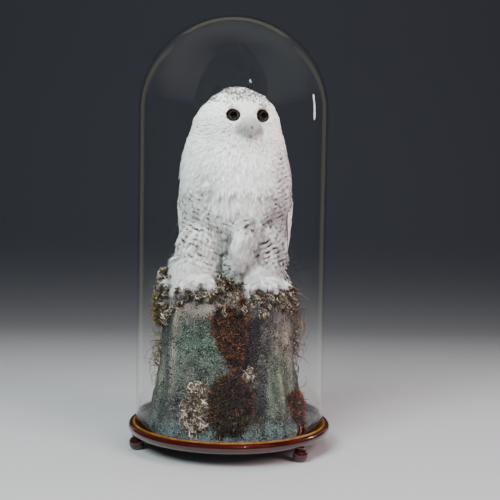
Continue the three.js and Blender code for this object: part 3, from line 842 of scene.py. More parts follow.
def face_share(points):
    """1 on the face, falling to 0 over the crown and cheeks."""
    middle = EYE_PLACES.mean(0) + [0, 0, -8]
    return np.exp(-(np.linalg.norm(points - middle, axis=1) / 52) ** 4)


def eye_gap(points):
    """The distance to the nearer eye's centre, longer upwards, as the lids open wider than high."""
    almond = [0.94, 0.94, 1.12]
    return np.min([np.linalg.norm((points - eye) * almond, axis=1) for eye in EYE_PLACES], axis=0)


def hill(points, centre, reach):
    """A smooth hill round a centre, with its own half size on each axis."""
    return np.exp(-(((points - np.array(centre)) / np.array(reach)) ** 2).sum(1))


def hills(points, patches):
    """The sum of hills from rows of strength, centre and reach."""
    return sum(strength * hill(points, centre, reach) for strength, centre, reach in patches)


def sizes(points, weights):
    """Depth, spacing, length, width and droop at each place, in mm."""
    table = weights @ np.array([RULES[name] for name in FLESH])
    part = dict(zip(FLESH, weights.T))
    face = (face_share(points) * part["head"])[:, None]
    table = table * (1 - face) + face * np.array([5.0, 3.4, 14.0, 4.6, 0.1])
    near_eye = np.clip((eye_gap(points) - 12) / 16, 0, 1)
    table[:, 0] *= 0.25 + 0.75 * near_eye
    table[:, 2] *= 0.55 + 0.45 * near_eye
    beside = np.clip((np.abs(points[:, 0] - 10) - 30) / 20, 0, 1)
    table[:, 2] *= 1 + 0.15 * beside * hill(points, (0, -40, 532), (400, 90, 34))
    low = np.clip((560 - points[:, 2]) / 260, 0, 1) * (part["wing_right"] + part["wing_left"])
    table[:, 0] *= 1 - 0.5 * low
    return table

# %% [markdown]
# ## Markings
#
# A young female snowy owl is white with narrow grey-brown bars: flecks on the crown, close thin
# bars on the flanks and thighs, stronger ones by the belly and over the back and wings, and none
# on the face, the throat, the middle of the breast, the feet and the long belly plume. The same
# function marks the skin and every feather, so that the coat can be parted without a change.

# %% How strongly each place is barred
BARRED = [  # strength, middle and half sizes of the patches with stronger bars on the body
    (0.95, (82, -70, 516), (24, 50, 30)), (0.9, (-14, -90, 512), (15, 50, 12)),
    (0.7, (30, -90, 522), (50, 50, 12)), (0.5, (92, -40, 600), (26, 60, 60)),
    (0.9, (28, -60, 480), (70, 70, 34)), (0.5, (-72, -60, 574), (20, 50, 18)),
]
# The grey is painted shade under the belly and its bulge, between the legs, on the flanks, in the groove
# by the wing and under the bill, and on the legs also the down's own grey base.
GREY_AND_SHADE = [  # the same for the patches painted grey: painted shade, and the down's grey base
    (0.95, (18, -60, 430), (34, 70, 62)), (0.35, (-66, -60, 530), (44, 70, 70)),
    (0.35, (84, -60, 520), (44, 70, 90)), (0.3, (-42, -90, 588), (18, 60, 34)),
    (0.3, (36, -80, 664), (50, 60, 9)), (0.45, (14, -80, 512), (70, 60, 13)),
    (0.42, (-64, -60, 440), (64, 80, 100)), (0.42, (92, -60, 450), (54, 80, 110)),
]


def markings(points, weights):
    """The strength of the bars from 0 to 1 at each place, in mm."""
    x, y, z = points.T
    part = dict(zip(FLESH, weights.T))
    back = np.clip((y - 10) / 60, 0, 1)
    flank = np.clip((np.abs(x - 20) - 46) / 36, 0, 1)
    body = 0.85 * flank * np.clip((600 - z) / 50, 0, 1) + 0.12 * np.clip((560 - z) / 30, 0, 1)
    body += 0.40 * np.clip((x - 60) / 24, 0, 1) * np.clip((690 - z) / 40, 0, 1)
    body += hills(points, BARRED)
    body = body * (1 - back) + 0.7 * back
    legs = 0.44 + 0.46 * np.clip((x - 10) / 60, 0, 1) + 0.5 * hill(points, (40, -60, 420), (24, 60, 50))
    plain = 374 + 44 * np.clip((-72 - x) / 24, 0, 1) + 16 * (x > 10)
    legs *= np.clip((z - plain) / 30, 0, 1)
    crown = np.clip((z - 728) / 16, 0, 1) * np.clip((y + 96) / 20, 0, 1)
    head = np.maximum(crown, 0.35 * np.clip((y - 20) / 40, 0, 1))
    for eye in EYE_PLACES:
        head = head + 1.2 * hill(points, eye + [0, -2, 17], (6, 14, 3.5))
    wings = 0.6 + 0.35 * np.clip((y + 10) / 60, 0, 1) + 0.15 * np.clip(x / 90, -1, 1)
    total = part["head"] * head + (part["trunk"] + part["neck"]) * body
    total += (part["leg_right"] + part["leg_left"]) * legs
    total += (part["wing_right"] + part["wing_left"]) * wings + part["tail"] * 0.7
    return np.clip(total, 0, 1)


def grey_and_shade(points):
    """How grey the down is painted, from 0 to 1: painted shade under the belly, between the legs,
    by the wings and under the throat, and on the legs also the down's own grey base.
    """
    patchy = 1 + 0.8 * rough(points, 34, 91)
    return np.clip(hills(points, GREY_AND_SHADE) * patchy + 0.1 * rough(points, 60, 95), 0, 1)

# %% The skin
def skin_finish():
    """Pale skin under down, with the bars of the feathers over it as fine waves."""
    finish = Finish("skin")
    spot = finish.place()
    height = finish.axis(spot, "Z")
    wave = finish.noise(spot, 22.0, 3.0)
    bars = ((height * 520.0) + wave * 9.0).math("SINE").within(0.55, 0.95)
    white = finish.mix(wave, paint(222, 220, 218), paint(238, 237, 234))
    colour = finish.mix(bars * finish.field("mark") * 0.7, white, paint(112, 98, 90))
    return finish.finish(
        Base_Color=colour, Roughness=0.95, Specular_IOR_Level=0.15,
        Normal=finish.relief(finish.noise(spot, 260.0, 3.0), 0.001, 0.5))


weights = body_weights(outer)
skin_normals = normals_of(outer, quads)
table = sizes(outer, weights)
inner = outer - skin_normals * table[:, :1]
skin = mesh_piece("skin", inner * MM, quads, skin_finish(), "plumage",
                  fields={"mark": markings(outer, weights)})
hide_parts(*FLESH)

# %% [markdown]
# ## One feather
#
# A body feather is a bent shaft with soft barbs on both sides. Each barb here is a flat ribbon of
# three triangles: a quad from the shaft and a pointed end. Near the shaft the barbs touch, so the
# feather is closed, and their loose ends give it a frayed rim, which is what makes a bird look
# soft. In the flat, a place on a feather is (t, u): t runs from 0 at the root to 1 at the tip, and
# u from -1 to 1 across. The barbs end on an outline, u = (1 - t^4)^0.8. Down and bristles are
# simpler: a few long, pointed filaments that fan out from one root.

# %% The flat feather
RIBBON = np.array([[0, 2, 3], [0, 3, 1], [2, 4, 3]])  # a quad and a pointed end on five points


def ribbons(rows):
    """Joins five-point ribbons (a quad and a pointed end) into places, ribbon numbers and faces."""
    flat = np.stack([np.stack(row, -1) for row in rows], 1)
    count = len(flat)
    faces = copies(RIBBON, count, 5).reshape(-1, 3, 3)
    flip = (flat[:, 4, 1] > 0)[:, None, None]
    faces = np.where(flip, faces[:, :, ::-1], faces)
    loose = np.tile([0.0, 0.0, 0.5, 0.5, 1.0], count)
    return flat.reshape(-1, 2), np.repeat(np.arange(count), 5), loose, faces.reshape(-1, 3)


def barbed(count, sweep=0.5, gap=1.2):
    """A feather: a shaft, and count barbs on each side that leave it at even steps."""
    base = np.tile(np.linspace(0.08, 0.92, count), 2)
    side = np.repeat([1.0, -1.0], count)
    tip = np.minimum(base + sweep * (1.05 - base) + 0.03, 0.995)
    half = side * (1 - tip ** 4) ** 0.8
    thick = (base[1] - base[0]) * 0.5 * gap
    middle = base + (tip - base) * 0.5
    rows = [(base - thick, 0 * base), (base + thick, 0 * base),
            (middle - thick * 0.85, half * 0.62), (middle + thick * 0.85, half * 0.62), (tip, half)]
    places, number, loose, faces = ribbons(rows)
    shaft = np.array([[0, -0.05], [0, 0.05], [0.5, -0.045], [0.5, 0.045], [1.0, 0.0]])
    return (np.concatenate([places, shaft]), np.append(number, np.full(5, 2 * count)),
            np.append(loose, np.zeros(5)), np.concatenate([faces, len(places) + RIBBON]))

# %% The flat tuft
def tuft(count, seed, thin=0.09):
    """Down: filaments from one root, with their own lengths, fanned out over the width."""
    rng = np.random.default_rng(seed)
    aim = np.linspace(-1, 1, count) + rng.normal(0, 0.12, count)
    long = (1 - 0.28 * aim ** 2) * rng.uniform(0.72, 1.0, count)
    rows = [(0 * aim, aim * 0.12 - thin), (0 * aim, aim * 0.12 + thin),
            (long * 0.5, aim * 0.62 - thin * 0.9), (long * 0.5, aim * 0.62 + thin * 0.9), (long, aim)]
    flat = np.stack([np.stack(row, -1) for row in rows], 1)
    return (flat.reshape(-1, 2), np.repeat(np.arange(count), 5),
            np.tile([0.0, 0.0, 0.4, 0.4, 1.0], count), copies(RIBBON, count, 5))

# %% [markdown]
# ## Growing a coat
#
# Every feather has a root, the skin's normal there and the direction of the lie. With length l,
# width w and depth d, the place (t, u) goes to
#
#   root + l t along + (w / 2) u across + d (1 - (1 - t)^2.4) normal
#
# so a feather leaves the skin steeply, reaches the coat's depth and then runs nearly parallel to
# the body over the next rows. Its shading follows the body's normal more than its own, because
# real barbs scatter light among themselves and look smooth. Roots are picked from many random
# places on the skin: space is divided into cells as wide as the spacing, and each keeps one root.

# %% Roots
def thinned(points, spacing):
    """The rows that stay when each cubic cell, as wide as its own spacing, keeps one point."""
    level = np.round(np.log(spacing) / 0.18)
    cell = np.floor(points / np.exp(level * 0.18)[:, None] + 0.37 * level[:, None])
    keys = np.column_stack([cell, level])
    return np.sort(np.unique(keys, axis=0, return_index=True)[1])


def roots(count, seed, spread=1.0):
    """Places for feathers all over the skin, each with all that the coat needs to know there."""
    _, pick, share = scattered(outer, triangles, count, seed)
    corners = triangles[pick]

    def blend(values):
        """Values at the corners, mixed by each place's shares in its triangle."""
        return np.einsum("ik,ik...->i...", share, values[corners])

    place = blend(outer)
    keep = thinned(place, blend(table)[:, 1] * spread)
    place, corners, share = place[keep], corners[keep], share[keep]
    normal = unit(blend(skin_normals))
    part = blend(weights)
    lie = np.einsum("ik,ikd->id", part, lie_rules(place))
    lie = unit(lie - normal * (lie * normal).sum(1, keepdims=True))
    swirl = 0.3 * noise(place, 55, 61)[:, None]
    lie = unit(lie + swirl * np.cross(normal, lie))
    return {"place": place, "root": blend(inner), "normal": normal, "lie": lie, "part": part,
            "size": blend(table), "mark": markings(place, part)}

# %% Feathers bent onto their roots
def plumes(grown, flat, seed, ruffle, strand):
    """Bends the flat feather onto every root: all points, their normals and the faces."""
    places, number, loose, faces = flat
    count = len(grown["root"])
    rng = np.random.default_rng(seed)
    depth, _, length, width, droop = grown["size"].T[:, :, None]
    length = length * rng.uniform(0.85, 1.15, (count, 1))
    width = width * rng.uniform(0.85, 1.15, (count, 1))
    turn = rng.normal(0, ruffle, (count, 1))
    normal = grown["normal"]
    along = unit(grown["lie"] + turn * np.cross(normal, grown["lie"]))
    across = np.cross(normal, along)
    normal, along, across = normal[:, None], along[:, None], across[:, None]
    t, u = places[:, 0], places[:, 1]
    stray = np.clip(rng.normal(0, 1, (3, count, int(number.max()) + 1)), -1.8, 1.8)[:, :, number] * loose
    reach = length * (t + 0.05 * stray[0])
    side = width / 2 * u * (1 + 0.25 * stray[1]) + length * rng.normal(0, 0.06, (count, 1)) * t * t
    high = depth * (1 - (1 - np.clip(t, 0, 1)) ** 2.4) * rng.uniform(0.93, 1.07, (count, 1))
    high = high + depth * 0.04 * stray[2] - 0.10 * width * u * u
    points = grown["root"][:, None] + along * reach[..., None] + across * side[..., None]
    points += normal * high[..., None]
    fall = droop * depth * np.clip(t - 0.5, 0, 1) ** 2 * (1 - np.abs(normal[..., 2]))
    points[..., 2] -= fall
    shade = normal + across * (0.3 * u + strand * stray[1])[..., None]
    shade = shade + along * (0.25 * t - 0.1)[:, None]
    return points.reshape(-1, 3), unit(shade).reshape(-1, 3), copies(faces, count, len(places))

# %% [markdown]
# A marking on a real feather is dark pigment in a stretch of the vane, so the flat place (t, u)
# says where it is: near the tip for a fleck, in steps of t for bars. On the breast and the legs
# neighbouring feathers line up, and their bars run on from one to the next as broken rows, so
# there the height on the body says it instead.

# %% The colours of a feather
def feather_finish(name, kind, dark=paint(48, 35, 29)):
    """White barbs with painted shade towards the root, marked by a fleck at the tip, streaks, bars,
    or rows that run over the body.
    """
    finish = Finish(name)
    vane = finish.sheet("Vane")
    t = finish.axis(vane, "X")
    u = finish.axis(vane, "Y")
    tone = finish.field("tone")
    if kind == "rows":
        spot = finish.place()
        height = finish.axis(spot, "Z")
        side = (finish.axis(spot, "X") - 0.012).math("ABSOLUTE")
        wander = finish.noise(spot, 18.0, 3.0, 0.6) * 17.0
        phase = (height - side * 0.4) * 540.0 + wander + tone * 1.8
        broken = finish.noise(spot, 75.0, 2.0).within(0.32, 0.60)
        bar = (phase.math("SINE") + finish.field("mark") * 0.9).within(0.35, 1.25) * broken
    elif kind == "streak":
        strand = finish.noise(finish.sheet("Vane", (0.5, 3, 1)), 2.0, 1.0)
        bar = strand.within(0.45, 0.62) * t.within(0.1, 0.4)
    elif kind == "fleck":
        bar = t.within(0.55, 0.72) * (1 - t.within(0.90, 0.98))
    else:
        bar = ((t + (u * u) * 0.14) * 25.0).math("SINE").within(0.4, 0.85)
    # tone darkens a feather by chance, and by the down's grey base and painted shade under the belly,
    # between the legs and by the wings
    base = finish.mix(tone, paint(126, 126, 129), paint(252, 252, 252))
    # painted shade towards the root of each feather, where the one before lies over it
    shaded = finish.mix((1 - t.within(0.0, 0.5)) * 0.4, base, paint(222, 222, 224))
    drift = finish.noise(finish.place(), 34.0, 3.0, 0.6).within(0.42, 0.66)
    shaded = finish.mix(drift * finish.field("mark") * 0.75, shaded, paint(118, 98, 93))
    colour = finish.mix(bar * finish.field("mark").within(0.0, 0.75), shaded, dark)
    return finish.finish(Base_Color=colour, Roughness=0.85, Specular_IOR_Level=0.15, Sheen_Weight=0.2,
                         Sheen_Roughness=0.6)

# %% One piece of the coat
def unwrapped(points, axis_path):
    """The skin unrolled round a path: u is the angle about it, v how far along it a root is."""
    along, run, spot = path_frame(np.array(axis_path, float), points)
    away = points - spot
    east = unit(np.cross(run, [0.0, 1.0, 0.02]))
    north = np.cross(run, east)
    angle = np.arctan2((away * east).sum(1), (away * north).sum(1)) / (2 * math.pi) + 0.5
    beyond = (away * run).sum(1) / 400
    return np.column_stack([0.01 + 0.98 * angle, np.clip(0.06 + 0.88 * along + beyond, 0.004, 0.996)])


def coat(name, grown, chosen, flat, material, axis_path, seed, ruffle=0.1, strand=0.3,
         all_or_none=False):
    """Makes one piece of the coat from the chosen roots; all_or_none marks each feather or not."""
    grown = {key: value[chosen] for key, value in grown.items()}
    rng = np.random.default_rng(seed)
    count, size = len(grown["root"]), len(flat[0])
    points, shade, faces = plumes(grown, flat, seed, ruffle, strand)
    vane = np.tile(flat[0], (count, 1))
    patch = np.repeat(unwrapped(grown["place"], axis_path), size, axis=0)
    patch = patch + 0.003 * np.column_stack([vane[:, 1] / 2, np.clip(vane[:, 0], 0, 1) - 0.5])
    mark = grown["mark"] * np.clip(rng.normal(0.95, 0.5, count), 0, 1.6)
    if all_or_none:
        mark = 0.9 * (rng.uniform(0, 1, count) < 0.75 * grown["mark"])
    # tone: a random part, less the down's grey and the painted shade under the belly, between the legs
    # and by the wings, unless the roots bring their own grey
    tone = 1 - 0.22 * rng.uniform(0, 1, count) - grown.get("grey", 0.72 * grey_and_shade(grown["place"]))
    fields = {"mark": np.repeat(np.clip(mark, 0, 1), size), "tone": np.repeat(np.clip(tone, 0, 1), size)}
    return mesh_piece(name, points * MM, faces, material, "plumage", normals=shade,
                      uvs={"OFBake": patch, "Vane": vane}, fields=fields)

# %% Head and body
def main_part(grown):
    """The name of the solid with the largest share at each root."""
    return np.array(FLESH)[grown["part"].argmax(1)]


triangles = triangles_of(quads)
grown = roots(150000, seed=5)
part_of = main_part(grown)
print("feathers:", {name: int((part_of == name).sum()) for name in FLESH})
clear_of_eyes = eye_gap(grown["place"]) > 13.6
each_barred = feather_finish("feathers_barred", "bars")
row_barred = feather_finish("feathers_in_rows", "rows")
streaked = feather_finish("bristles_streaked", "streak", paint(70, 67, 66))
flecked = feather_finish("feathers_flecked", "fleck", paint(58, 47, 40))
UPRIGHT = [(6, 0, 360), (6, 0, 760)]
here = (part_of == "head") & clear_of_eyes
coat("coat_head", grown, here, barbed(6), flecked, UPRIGHT, 1, 0.16, all_or_none=True)
here = np.isin(part_of, ["neck", "trunk"])
front = grown["place"][:, 1] < 0
coat("coat_breast", grown, here & front, barbed(18), row_barred, UPRIGHT, 2, 0.16)
coat("coat_back", grown, here & ~front, barbed(13), each_barred, UPRIGHT, 3)

# %% Wings, legs, feet and tail
for side, label in ((-1, "right"), (1, "left")):
    along, _, middle = path_frame(wing_path(side), grown["place"])
    outer_face = (grown["normal"] * from_the_middle(middle)).sum(1) > 0
    front_edge = (grown["place"] - middle)[:, 1] < -34
    here = (part_of == f"wing_{label}") & ((along < 0.46) | ~outer_face | front_edge)
    coat(f"coat_wing_{label}", grown, here, barbed(12), each_barred, wing_path(side), 4 + side)
for name, x, seed in (("leg_right", -63, 14), ("leg_left", 73, 15)):
    axis = [(x, 0, 350), (x, 0, 520)]
    coat(f"coat_{name}", grown, part_of == name, barbed(16), row_barred, axis, seed, 0.14)
for name, x, seed in (("foot_right", -70, 20), ("foot_left", 71, 21)):
    axis = [(x, -60, 330), (x, -60, 400)]
    coat(f"coat_{name}", grown, part_of == name, tuft(13, 2), each_barred, axis, seed, 0.3)
coat("coat_tail", grown, part_of == "tail", barbed(12), each_barred, TAIL_PATH, 30)

# %% [markdown]
# ## Flight feathers
#
# On the lower half of each folded wing and on the tail the feathers are long, stiff and closed.
# Each is a grid laid on the solid's outer face: its middle line keeps the same share s of the half
# width from root to tip, so that the feathers draw together where the wing narrows. Those nearer
# the back lie on top and end sooner, and every tip is rounded, width = (1 - v^7)^0.5.

# %% Wing and tail quills
ROWS, COLUMNS = 22, 7  # points along a quill and across it


def strip_frame(path, facing, along):
    """The middle line, the way out and the way across at each share of a path."""
    table = np.column_stack([np.linspace(0, 1, len(path)), path])
    spot = curve_through(table, along)
    after, before = np.minimum(along + 0.01, 1), np.maximum(along - 0.01, 0)
    run = unit(curve_through(table, after) - curve_through(table, before))
    out = facing(spot)
    out = unit(out - run * (out * run).sum(-1, keepdims=True))
    return spot, out, np.cross(run, out)


def quill(path, facing, sizes, bend, share, start, end, width, lift):
    """One long feather on a flattened tube: places in mm, its flat places, and quads."""
    v = np.linspace(0, 1, ROWS)[:, None]
    u = np.linspace(-1, 1, COLUMNS)[None, :]
    along = start + (end - start) * v
    half, thick = np.moveaxis(curve_through(sizes, along), -1, 0)
    rounded = np.sqrt(np.clip(1 - v ** 7, 0, 1)) * np.clip(0.5 + 3 * v, 0, 1) + 0.02
    s = share * half + u * width / 2 * rounded
    spot, out, across = strip_frame(path, facing, along + 0 * u)
    level = thick * np.sqrt(np.clip(1 - (s / (half + 6)) ** 2, 0.02, 1)) - bend * s * s
    high = level + lift + 1.2 * np.exp(-(u / 0.12) ** 2) - 1.6 * u * u - 3.0 * np.clip(0.25 - v, 0, 1)
    points = spot + across * s[..., None] + out * high[..., None]
    return points, np.broadcast_to(v, high.shape), np.broadcast_to(u, high.shape)


def quill_row(name, path, facing, sizes, bend, plans, material, seed):
    """Joins quills, each with a back 0.7 mm below its face, into one piece."""
    rng = np.random.default_rng(seed)
    size = ROWS * COLUMNS
    points, vane, sheet, marks = [], [], [], []
    for number, plan in enumerate(plans):
        face, v, u = quill(path, facing, sizes, bend, *plan)
        down = facing(face.reshape(-1, 3)).reshape(face.shape)
        points.append(np.concatenate([face.reshape(-1, 3), (face - 0.7 * unit(down)).reshape(-1, 3)]))
        flat = np.column_stack([v.ravel(), u.ravel()])
        vane.append(np.concatenate([flat, flat]))
        place = np.column_stack([(number + 0.5 + 0.45 * flat[:, 1]) / len(plans), flat[:, 0]])
        sheet.append(np.concatenate([place * [1, 0.49], place * [1, 0.49] + [0, 0.5]]))
        marks.append(np.full(2 * size, rng.uniform(0.55, 0.95)))
    front = grid_faces(ROWS, COLUMNS)
    edge = np.concatenate([np.arange(COLUMNS), COLUMNS * np.arange(1, ROWS) + COLUMNS - 1,
                           size - 2 - np.arange(COLUMNS - 1), COLUMNS * np.arange(ROWS - 2, 0, -1)])
    rim = np.stack([edge, edge + size, np.roll(edge, -1) + size, np.roll(edge, -1)], -1)
    one = np.concatenate([front[:, ::-1], front + size, rim[:, ::-1]])
    faces = copies(one, len(plans), 2 * size)
    points, vane, sheet, marks = (np.concatenate(each) for each in (points, vane, sheet, marks))
    return mesh_piece(name, points * MM, faces, material, "plumage", uvs={"OFBake": sheet, "Vane": vane},
                      fields={"mark": marks, "tone": np.repeat(rng.uniform(0, 1, len(plans)), 2 * size)})

# %% The colours of a quill
def quill_finish():
    """Closed white vanes with broken brown bars, and fine barbs as slanting lines."""
    finish = Finish("quills")
    vane = finish.sheet("Vane")
    t = finish.axis(vane, "X")
    u = finish.axis(vane, "Y")
    spread = u.math("ABSOLUTE")
    blur = finish.noise(finish.place(), 90.0, 3.0, 0.6)
    wave = ((t - spread * 0.05) * 38.0 + blur * 2.6).math("SINE")
    bar = wave.within(0.45, 0.85) * (1 - spread.within(0.55, 1.0) * 0.7) * (1 - t.within(0.93, 1.0))
    barbs = ((t * 230.0) - spread * 30.0).math("SINE")
    white = finish.mix(finish.field("tone"), paint(228, 227, 226), paint(242, 242, 242))
    white = finish.mix(barbs.within(-1.0, 1.0) * 0.25, white, paint(206, 206, 208))
    colour = finish.mix(bar * finish.field("mark") * 0.85, white, paint(92, 76, 66))
    shaft = (1 - spread.within(0.05, 0.10)) * 0.5
    colour = finish.mix(shaft, colour, paint(214, 200, 180))
    return finish.finish(Base_Color=colour, Roughness=0.75, Specular_IOR_Level=0.25,
                         Normal=finish.relief(barbs, 0.0006, 0.5))

# %% Two wings and a tail
def backwards(spots):
    """The way out of the upper face of the tail."""
    return np.broadcast_to([0.0, 1.0, 0.0], spots.shape)


WING_SIZES = [  # share of the path, half width, half thickness
    (0, 16, 6), (0.16, 54, 13), (0.36, 74, 14), (0.58, 78, 13), (0.78, 58, 10), (0.93, 32, 7), (1, 9, 3),
]
TAIL_SIZES = [(0, 44, 14), (0.5, 52, 9), (0.85, 58, 6), (1, 46, 4)]
stiff = quill_finish()
for side, label in ((-1, "right"), (1, "left")):
    long = [(s * side, 0.46 + 0.01 * k, 0.985 - 0.018 * k, 29 - 0.4 * k, 0.4 + 0.3 * k)
            for k, s in enumerate(np.linspace(0.70, -0.84, 12))]
    covering = [(s * side, 0.36, 0.64 + 0.012 * k, 25, 4.0 + 0.2 * k)
                for k, s in enumerate(np.linspace(0.45, -0.86, 9))]
    quill_row(f"quills_wing_{label}", wing_path(side), from_the_middle, WING_SIZES, 0.004,
              long + covering, stiff, 50 + side)
tail_shares = [side * s for s in (0.88, 0.72, 0.56, 0.40, 0.24, 0.08) for side in (-1, 1)]
plans = [(s, 0.02, 0.97 + 0.02 * (1 - abs(s)), 30, 0.6 + 0.4 * k) for k, s in enumerate(tail_shares)]
quill_row("quills_tail", TAIL_PATH, backwards, TAIL_SIZES, 0.001, plans, stiff, 53)

# %% [markdown]
# ## Down, bristles and the belly plume
#
# Some feathers follow their own rules. Down tufts lie loosely over the breast and soften it. Long
# ones grow in a mound over each foot and hang over the toes. Two plumes hang from the belly, each
# a bundle that narrows to a point, with barred feathers behind them. Stiff bristles sweep down
# from between the eyes and beside the bill, and hide most of it.

# %% Roots placed one by one
def tufts_at(root, normal, lie, size, mark):
    """Roots in the form that a coat takes, for tufts placed one by one; sizes are rows of RULES."""
    lie = unit(lie - normal * (lie * normal).sum(1, keepdims=True))
    size = np.broadcast_to(size, (len(root), 5))
    return {"place": root, "root": root, "normal": normal, "lie": lie, "size": size,
            "mark": np.broadcast_to(mark, len(root))}


def plume(path, half, thick, count, length, seed):
    """Roots on the front of a hanging spindle: its width is sin(pi (0.15 + 0.85 t)) ^ 1.3."""
    rng = np.random.default_rng(seed)
    t = rng.uniform(0, 0.80, count)
    angle = rng.uniform(math.pi, 2 * math.pi, count)
    table = np.column_stack([np.linspace(0, 1, len(path)), path])
    middle = curve_through(table, t)
    run = curve_through(table, np.minimum(t + 0.1, 1)) - middle
    narrow = (np.sin(math.pi * (0.15 + 0.85 * t)) ** 1.3)[:, None]
    out = np.stack([np.cos(angle), np.sin(angle), 0 * angle], -1)
    root = middle + out * np.array([half, thick, 0]) * narrow * 0.85
    lie = unit(unit(run) - out * [0.34, 0, 0])
    size = np.column_stack([0 * t + 5, 0 * t, length * (1.0 - 0.5 * t), 0 * t + 12, 0 * t])
    return tufts_at(root, unit(out * [0.6, 1, 0] + [0, -0.4, 0]), lie, size, 0.0)


def joined_roots(groups):
    """Several sets of roots as one."""
    return {key: np.concatenate([group[key] for group in groups]) for key in groups[0]}

# %% Mounds over the feet
def foot_mounds(count, seed):
    """A mound of tufts over each foot, rounded like half a ball and hanging over the toes."""
    rng = np.random.default_rng(seed)
    groups = []
    for centre, reach in (((-95, -52, 356), (36, 44, 74)), ((56, -55, 352), (36, 42, 66))):
        out = unit(rng.normal(0, 1, (count, 3)))
        out[:, 2] = np.abs(out[:, 2])
        root = centre + out * reach * 0.86
        lie = unit(out * [0.55, 0.55, 0] + [0, 0, -0.6])
        size = np.array([11, 0, 30, 12, 2.0])
        groups.append(tufts_at(root, unit(out / reach), lie, size, 0.0))
    return joined_roots(groups)


def toe_tufts(count, seed):
    """Tufts that lie over every claw and hide most of it, shorter on the outermost left one."""
    rng = np.random.default_rng(seed)
    groups = []
    for foot, ankle in ANKLES.items():
        for toe in range(1, 5):
            claw = node_mesh(foot.replace("foot", "claw") + f"_{toe}")[0]
            ahead = unit((claw.mean(0) - np.array(ankle)) * [1, 1, 0])
            high = claw[claw[:, 2].argmax()]
            root = high + rng.normal(0, 1, (count, 3)) * [5.5, 4.5, 2.5] - 5 * ahead + [0, 0, 3]
            lie = unit(ahead * 0.9 + [0, 0, -0.7] + rng.normal(0, 0.25, (count, 3)))
            bare = foot == "foot_left" and ahead[0] > 0.75
            size = np.array([5, 0, 14 if bare else 23, 10, 2.0])
            groups.append(tufts_at(root, unit(ahead + [0, 0, 0.8] + 0 * root), lie, size, 0.0))
    return joined_roots(groups)

# %% Bristles round the bill
def head_frame(spots):
    """Places given on the head as it would face forwards, turned and moved to where it faces."""
    c, s = math.cos(HEAD_TURN), math.sin(HEAD_TURN)
    turn = np.array([[c, -s, 0], [s, c, 0], [0, 0, 1]])
    return np.asarray(spots, float) @ turn.T + HEAD_AXIS


def head_direction(vectors):
    """A direction on the forward-facing head, turned with it."""
    return head_frame(vectors) - head_frame(np.zeros(3))


def bristles(count, seed):
    """Bristles from the bridge between the eyes and both sides of the bill, sweeping down."""
    rng = np.random.default_rng(seed)
    side = np.clip(rng.normal(0, 0.55, count), -1, 1)
    down = rng.uniform(0, 1, count)
    x = side * (6 + 12 * down)
    root = np.column_stack([x, -64 - 6 * (1 - side ** 2) - 5 * down, 712 - 26 * down])
    normal = np.column_stack([side * 0.55, -1 + 0 * side, 0.1 + 0 * side])
    lie = np.column_stack([side * (0.3 + 0.45 * down), 0.12 + 0 * side, -1 + 0 * side])
    size = np.column_stack([0 * x + 12.5, 0 * x, 26 - 4 * np.abs(side), 0 * x + 9, 0 * x])
    return tufts_at(head_frame(root), unit(head_direction(normal)), unit(head_direction(lie)),
                    size, 0.25 + 0.75 * down)

# %% Down, plumes, fluff and bristles
loose = roots(60000, seed=9, spread=1.02)
softness = np.isin(main_part(loose), ["neck", "trunk"]) & (loose["place"][:, 1] < 10)
loose["size"] = loose["size"] * [1.06, 1, 1.12, 1.1, 0.8]
loose["mark"] = loose["mark"] * 0.25
coat("down_breast", loose, softness, tuft(17, 3, 0.05), each_barred, UPRIGHT, 41, 0.22, 0.15)

hanging = joined_roots([
    plume([(30, -82, 506), (25, -98, 462), (19, -97, 425), (15, -88, 384)], 25, 15, 300, 46, 21),
    plume([(54, -80, 512), (53, -91, 476), (44, -90, 436)], 11, 8, 80, 36, 22),
])
vent = plume([(14, -30, 440), (12, -24, 400), (12, -16, 352)], 58, 40, 420, 62, 26)
vent["mark"] = vent["mark"] + 0.8
hanging["mark"] = hanging["mark"] + 0.5
hanging["grey"] = 0.5 * np.random.default_rng(28).random(len(hanging["mark"])) ** 2
hanging["grey"] += 0.25 * (hanging["root"][:, 0] > 42)
coat("belly_plume", hanging, slice(None), tuft(19, 4, 0.04), streaked, UPRIGHT, 42, 0.08, 0.7)
coat("vent_feathers", vent, slice(None), barbed(9), each_barred, UPRIGHT, 45, 0.2)
fluff = joined_roots([foot_mounds(900, 24), toe_tufts(80, 27)])
coat("ankle_fluff", fluff, slice(None), tuft(15, 5, 0.06), each_barred, UPRIGHT, 43, 0.25, 0.7)
whiskers = bristles(340, 25)
whiskers["grey"] = 0.12 + 0.38 * whiskers["mark"] ** 2
coat("bristles", whiskers, slice(None), tuft(9, 6, 0.07), streaked, UPRIGHT, 44, 0.12, 0.4)

# %% [markdown]
# ## Eyes, bill and claws
#
# The eyes are glass, bought by the pair and set in clay: a black pupil, a painted ring of dark
# brown iris, and a clear, very smooth front. The colour of a place on the ball follows from its
# angle to the line of sight, which the mesh carries as a number. Round each ball lies a narrow lid
# of dark bare skin, a little wider than high. Bill and claws are the solids themselves, welded,
# subdivided and finished as polished black horn.

# %% A glass ball and its colours
def eye_points(centre, sight, radius, rings=40, sides=64):
    """A ball about a line of sight, with each point's angle from that line over pi."""
    polar = np.linspace(0, math.pi, rings)
    profile = np.stack([radius * np.sin(polar), radius * np.cos(polar)], -1)
    profile[[0, -1], 0] = 0
    points, faces = lathe(profile[::-1], sides)
    angle = np.arccos(np.clip(points[:, 2] / radius, -1, 1)) / math.pi
    return along_axis(points, centre, sight), faces, angle


def along_axis(points, centre, axis):
    """Points made about Z, tilted so that Z lies along an axis, and moved to a centre."""
    axis = unit(np.asarray(axis, float))
    east = unit(np.cross([0, 0, 1.0], axis))
    north = np.cross(axis, east)
    return points[:, :1] * east + points[:, 1:2] * north + points[:, 2:] * axis + centre


